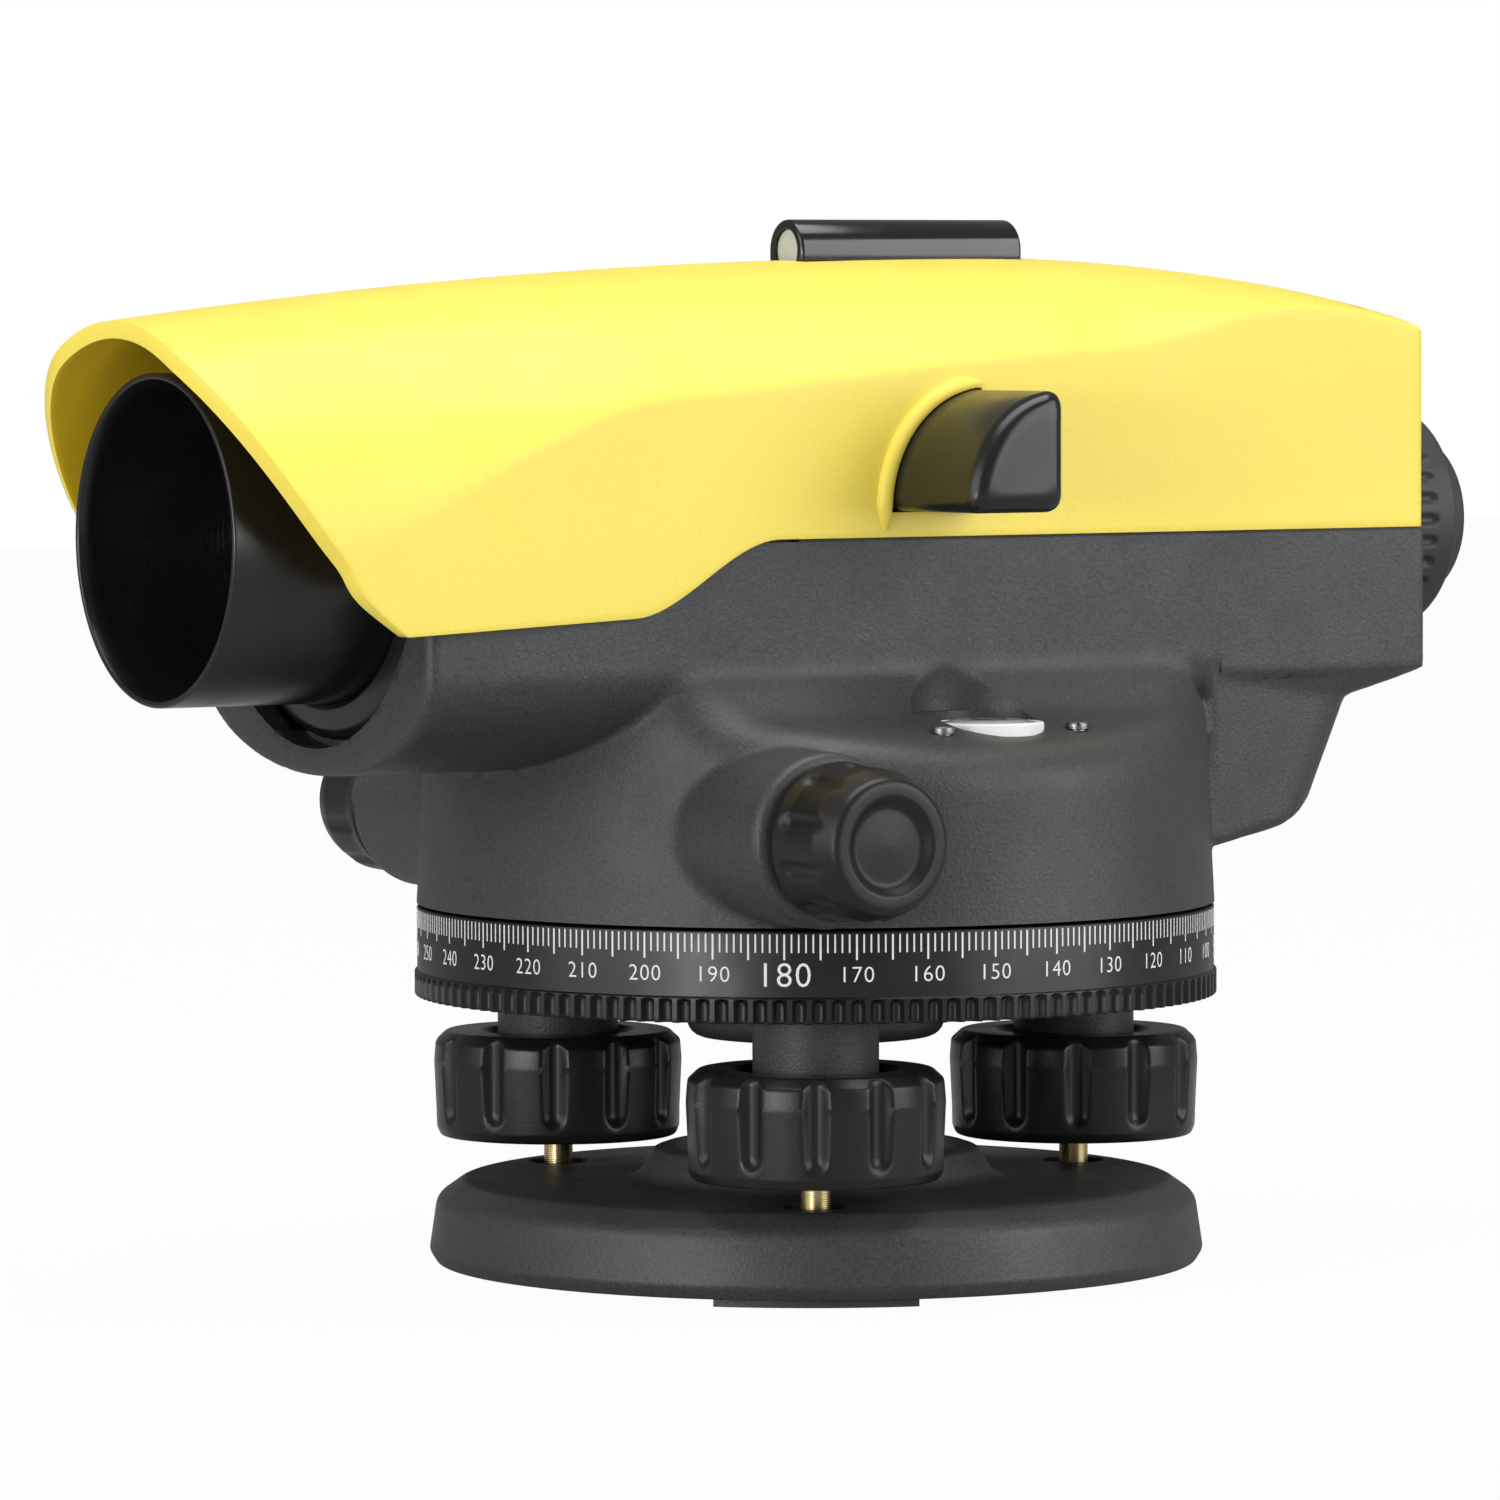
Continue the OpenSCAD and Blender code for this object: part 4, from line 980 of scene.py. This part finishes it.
def make_footscrews():
    low, high, radius = 15.4, 29.4, 16.5
    outline = rounded([
        (1.96, low), (radius - 0.9, low, 0.7), (radius - 0.4, low + 1.2, 0.8), (radius, high - 4, 5),
        (radius - 0.2, high - 1.4, 0.9), (radius - 1.7, high, 1.0), (10.4, high, 0.9), (8.9, high - 1.6, 0.9),
        (8.9, high - 5.4, 0.6), (3.02, high - 5.4), (3.02, high - 8), (1.96, high - 8)
    ], closed=True)
    outline = dense(outline, 0.5)
    warp = fluted(12, 1.75, radius + 0.55, low + 3.7, high + 4, 0.35)
    for side, (x, y) in FOOTSCREWS.items():
        turn = math.atan2(y, x)
        knob = turned(lathe(outline, 288, warp, closed=True), at=(x, y, 0), spin=turn)
        made(f"footscrew_knob_{side}_moulded", knob, f"{side}_knob", "knob_black", KNOB,
             f"footscrew_knob_{side}", sharp_angle=45)
        ball = [(2.6 * math.cos(a), 6 + 2.6 * math.sin(a)) for a in np.linspace(-math.pi / 2, 0.75, 14)]
        stem = [(0.001, 3.4)] + ball[1:] + [(1.9, 8.4), (1.9, 21.1), (1.6, 21.4), (0.001, 21.4)]
        made(f"stem_{side}_turned", upright(lathe(stem, 48), x, y), f"{side}_stem", "brass", BRASS,
             f"stem_{side}")


make_base()
make_tribrach()
make_footscrews()


# --- horizontal circle with its scale ---

GRIP_RIBS = 134
GRIP_H = 3.2
RIBS_OUTSIDE_R = 50.5
FACE_R = CIRCLE_R - 0.05
ZERO_BEARING = math.radians(53)


def grip_warp(angles, radius, height):
    """Upright grooves round the lower edge, with rounded upper ends."""
    across = np.abs((angles * GRIP_RIBS / TAU) % 1 - 0.5)
    top = CIRCLE_LOW + GRIP_H
    reach = np.clip((top - 0.1 - height) / 0.5, 0, 1) ** 0.5
    groove = smooth((0.27 * reach - across) / 0.1 + 0.5) * (reach > 0)
    return radius - 0.95 * groove * (radius > RIBS_OUTSIDE_R)


def make_circle():
    low, high = CIRCLE_LOW, CIRCLE_HIGH
    lip = low + GRIP_H
    outline = rounded([
        (40.06, 44.2), (49, 44.2), (49, low, 0.3), (CIRCLE_R + 0.3, low, 0.3), (CIRCLE_R + 0.3, lip, 0.3),
        (FACE_R, lip + 0.15, 0.1), (FACE_R, high, 0.25), (49, high), (49, 46.2), (40.06, 46.2)
    ], closed=True)
    # extra points only where the ribs need them
    corners = outline.tolist()
    keep = [p for p in dense(outline, 0.45).tolist()
            if (p[0] > RIBS_OUTSIDE_R and p[1] < lip + 0.5) or p in corners]
    made("horizontal_circle_turned", lathe(keep, GRIP_RIBS * 8, grip_warp, closed=True), "circle",
         "circle_black", CIRCLE, "horizontal_circle", sharp_angle=50)


def on_drum(flat, radius, bearing):
    """Bends points drawn flat (x along the rim, y up, z out) onto a drum, centred at a bearing."""
    around = bearing + flat[:, 0] / radius
    out = radius + flat[:, 2]
    return np.stack([out * np.cos(around), out * np.sin(around), flat[:, 1]], -1)


def numeral(value, height):
    """Flat outline of a number, its middle at the origin, with the paint's thickness."""
    curve = bpy.data.curves.new("numeral", "FONT")
    curve.body = str(value)
    curve.align_x = "CENTER"
    curve.size = height / 0.73
    curve.space_character = 1.08
    curve.resolution_u = 3
    curve.extrude = 0.03
    curve.offset = -0.03
    holder = bpy.data.objects.new("numeral", curve)
    bpy.context.collection.objects.link(holder)
    graph = bpy.context.evaluated_depsgraph_get()
    graph.update()
    mesh = bpy.data.meshes.new_from_object(holder.evaluated_get(graph))
    points = np.array([v.co for v in mesh.vertices]) - [0, height / 2, 0]
    faces = [list(f.vertices) for f in mesh.polygons]
    bpy.data.objects.remove(holder)
    bpy.data.meshes.remove(mesh)
    return points, faces


def make_scale():
    """Graduations every degree and a number every ten, clockwise, as painted marks."""
    top = CIRCLE_HIGH - 0.35
    marks = []
    for degree in range(360):
        bearing = ZERO_BEARING - math.radians(degree)
        length = 3.2 if degree % 5 == 0 else 2.3
        half = 0.12 if degree % 5 == 0 else 0.1
        tick = prism([(-half, top - length), (half, top - length), (half, top), (-half, top)], -0.03, 0.04)
        marks.append((on_drum(tick[0], FACE_R, bearing), tick[1]))
        if degree % 10 == 0:
            number = numeral(degree, 3.2 if degree % 90 == 0 else 2.1)
            raised = number[0] + [0, CIRCLE_HIGH - 5.3, 0.01]
            marks.append((on_drum(raised, FACE_R, bearing), number[1]))
    made("circle_graduations", combined(*marks), "circle", "marking_white", PAINT)


make_circle()
make_scale()


# --- drive knobs, focusing knob and eyepiece ---

def knob_outline(radius, face, length, dish):
    """Outline of a knob along +Z: rim at the back, slight taper, rounded face with a dished middle."""
    outline = rounded([
        (2.5, 0), (radius - 0.4, 0, 0.4), (radius, 0.9, 0.5), (radius - 0.35, 3, 0.8),
        (radius - 0.5, length - 3.6, 2.5), (face, length, 1.3), (dish + 0.7, length, 0.8),
        (dish - 0.6, length - 1.1, 1.2), (0.001, length - 0.8), (0.001, length - 1.9), (2.5, length - 1.9)
    ], closed=True)
    return dense(outline, 0.45)


def make_side_knobs():
    for side, sign in (("left", -1), ("right", 1)):
        low, high = box_mm(f"drive_knob_{side}")
        back = high[1] if sign < 0 else low[1]
        length = high[1] - low[1]
        outline = knob_outline(10, 8.3, length, 5.5)
        warp = fluted(10, 2.3, 11.4, 3.6, length + 3, 0.3, math.radians(18))
        outward = "Y" if sign > 0 else "-Y"
        shape = turned(lathe(outline, 240, warp, closed=True), outward, (TANGENT_X, back, TANGENT_Z))
        made(f"drive_knob_{side}_moulded", shape, "tangent_drive", "knob_black", SOFT,
             f"drive_knob_{side}", sharp_angle=45)
    low, high = box_mm("focus_knob")
    centre = (low + high) / 2
    outline = knob_outline(15, 13, high[1] - low[1], 8.2)
    warp = fluted(16, 2.4, 16.3, 3.6, 20, 0.3, math.radians(11.25))
    shape = turned(lathe(outline, 320, warp, closed=True), "Y", (centre[0], low[1], centre[2]))
    made("focus_knob_moulded", shape, "focus_drive", "knob_black", SOFT, "focus_knob", sharp_angle=45)


def make_eyepiece():
    low, high = box_mm("eyepiece_ring")
    radius = (high[2] - low[2]) / 2
    outline = rounded([
        (9.1, low[0]), (12, low[0], 0.5), (12.3, low[0] + 1.2, 0.4), (radius, low[0] + 1.7, 0.6),
        (radius, low[0] + 13.4, 1.0), (radius - 2.4, low[0] + 15.4, 1.4), (11.2, low[0] + 16.2, 0.8),
        (10.6, high[0], 1.2), (7.6, high[0], 0.8), (6.7, high[0] - 2.1, 0.4), (7.6, high[0] - 2.6),
        (7.6, low[0] + 4.8), (9.1, low[0] + 4.8)
    ], closed=True)
    outline = dense(outline, 0.5)
    ribs = 32
    warp = fluted(ribs, 0.8, radius + 0.15, low[0] + 2.6, low[0] + 9.6, 0.12)
    shape = on_axis(lathe(outline, ribs * 12, warp, closed=True))
    made("eyepiece_ring_moulded", shape, "eyepiece", "rubber_black", RUBBER, "eyepiece_ring", sharp_angle=45)


make_side_knobs()
make_eyepiece()


# --- sight, bubble prism, bubble ---

def make_sight():
    x0, x1 = sight_low[0], sight_high[0]
    half, low = sight_high[1], sight_low[2]
    centre, bore_r = sight_high[2] - half, half - 1.1
    arc = np.linspace(0, math.pi, 25)
    outer = [(half * math.cos(a), centre + half * math.sin(a)) for a in arc] + [(-half, low), (half, low)]
    points, faces = prism(outer, x0, x1)
    sight = new_object("sight_tube_moulded", (points[:, [2, 0, 1]], faces))
    bevelled(sight, 0.5, 4, 40)
    carved(sight, turned(plug(bore_r, x0 - 1, x1 + 1, 48), "X", (0, 0, centre)))
    piece(sight, "alidade", "gloss_black", GLOSS, "sight_tube")
    discs = []
    for x in (x0 + 0.5, x1 - 1.7):
        edge = [(0.001, x), (0.5 * bore_r, x - 0.1), (0.9 * bore_r, x), (bore_r - 0.03, x + 0.25),
                (bore_r - 0.03, x + 1.1), (0.001, x + 1.1)]
        discs.append(turned(lathe(edge, 48), "X", (0, 0, centre)))
    made("sight_windows", combined(*discs), "alidade", "glass", FROST, "sight_lens")


def prism_field(x, y, z):
    """Quarter-oval box with rounded edges, hollow, open towards the eyepiece and down to the bubble."""
    low, high = prism_low, prism_high
    across, up = (high[0] - x) / (high[0] - low[0]), (z - low[2]) / (high[2] - low[2])
    reach = np.hypot(across, up) + 1e-6
    oval = (reach - 1) * reach / np.hypot(across / (high[0] - low[0]), up / (high[2] - low[2]))
    solid = smooth_max(smooth_max(oval, x - high[0], 2.2), low[2] - z, 2.2)
    solid = smooth_max(solid, low[1] - y, 2.6)
    solid = np.maximum(solid, y - high[1])
    ends = np.maximum(low[1] + 1.6 - y, y - high[1] + 1.6)
    hollow = np.maximum(np.maximum(oval + 1.5, x - high[0] + 1.5), np.maximum(low[2] + 1.5 - z, ends))
    sides = np.maximum(low[1] + 3 - y, y + 33)
    to_eye = np.maximum(np.maximum(high[0] - 2 - x, sides), np.maximum(low[2] + 3 - z, z - high[2] + 4))
    down = np.maximum(np.maximum(z - low[2] - 2, sides), np.maximum(low[0] + 3 - x, x - high[0] + 3))
    return np.maximum(solid, -np.minimum(hollow, np.minimum(to_eye, down)))


def make_prism():
    low, high = prism_low, prism_high
    step = 0.38
    prism_piece = new_object("prism_housing_moulded", net_surface(prism_field, low - 1, high + 1, step))
    piece(prism_piece, "alidade", "gloss_black", PRISM, "prism_housing", sharp_angle=45)
    back, bottom = high[0] - 1.5, low[2] + 1.5
    triangle = [(back, bottom), (back, low[2] + 12.5), (high[0] - 11.5, bottom)]
    glass = new_object("bubble_prism_ground", along_y(triangle, low[1] + 2.4, -32))
    bevelled(glass, 0.25, 2)
    piece(glass, "alidade", "glass", LENS, "bubble_prism")


def slotted_screw(x, y, top, radius, shank, bottom):
    """Cheese-head screw with a slot across its head."""
    head = rounded([(0.001, bottom), (shank, bottom), (shank, top - 0.9), (radius, top - 0.9, 0.1),
                    (radius, top, 0.25), (0.001, top)])
    screw = new_object("screw", upright(lathe(head, 40), x, y))
    turn = 0.6 + x
    c, s = math.cos(turn), math.sin(turn)
    slot_outline = [(a * c - b * s + x, a * s + b * c + y) for a, b in
                    [(-radius - 1, -0.2), (radius + 1, -0.2), (radius + 1, 0.2), (-radius - 1, 0.2)]]
    carved(screw, prism(slot_outline, top - 0.45, top + 1))
    return screw


def joined(parts, name):
    """One object from several, each keeping its shape."""
    shapes = []
    for part in parts:
        points = np.array([part.matrix_world @ v.co for v in part.data.vertices]) / MM
        shapes.append((points, [list(f.vertices) for f in part.data.polygons]))
        bpy.data.objects.remove(part)
    return new_object(name, combined(*shapes))


def make_bubble():
    x, y = vial_middle[:2]
    cup_low, cup_high = box_mm("vial_cup")
    vial_low, vial_high = box_mm("bubble_vial")
    inside = (vial_high[0] - vial_low[0]) / 2 + 0.05
    foot, rim, seat = cup_low[2], cup_high[2], vial_low[2] - 0.02
    cup = rounded([(0.001, foot), (7.95, foot), (7.95, foot + 5, 0.3), (7, foot + 5, 0.2),
                   (7, rim, 0.35), (inside, rim, 0.2), (inside, seat), (0.001, seat)])
    made("vial_cup_turned", upright(lathe(cup, 96), x, y), "alidade", "marking_white", PAINT,
         "vial_cup")
    bottom, top = vial_low[2], vial_high[2]
    glass = rounded([(0.001, bottom), (inside - 0.1, bottom), (inside - 0.1, top - 0.45, 0.4),
                     (4.4, top, 3), (0.001, top)])
    made("vial_glass", upright(lathe(glass, 96), x, y), "alidade", "glass", FROST, "bubble_vial")
    ring = [(2.2 + 0.09 * math.cos(a), top + 0.02 + 0.05 * math.sin(a)) for a in np.linspace(0, TAU, 9)[:-1]]
    made("vial_reference_ring", upright(lathe(ring, 72, closed=True), x, y), "alidade",
         "rubber_black", RUBBER)
    screws = [slotted_screw(px, py, screw_high[2], 1.45, 1.1, SHOULDER_Z - 4) for px, py in screw_places]
    piece(joined(screws, "vial_adjusting_screws"), "alidade", "steel", DARK_STEEL, "vial_screws")
    covers = [slotted_screw(69, side * 22.5, 121.9, 2.1, 1.5, 99.2) for side in (-1, 1)]
    piece(joined(covers, "cover_screws_slotted"), "alidade", "steel", STEEL, "cover_screws")


make_sight()
make_prism()
make_bubble()
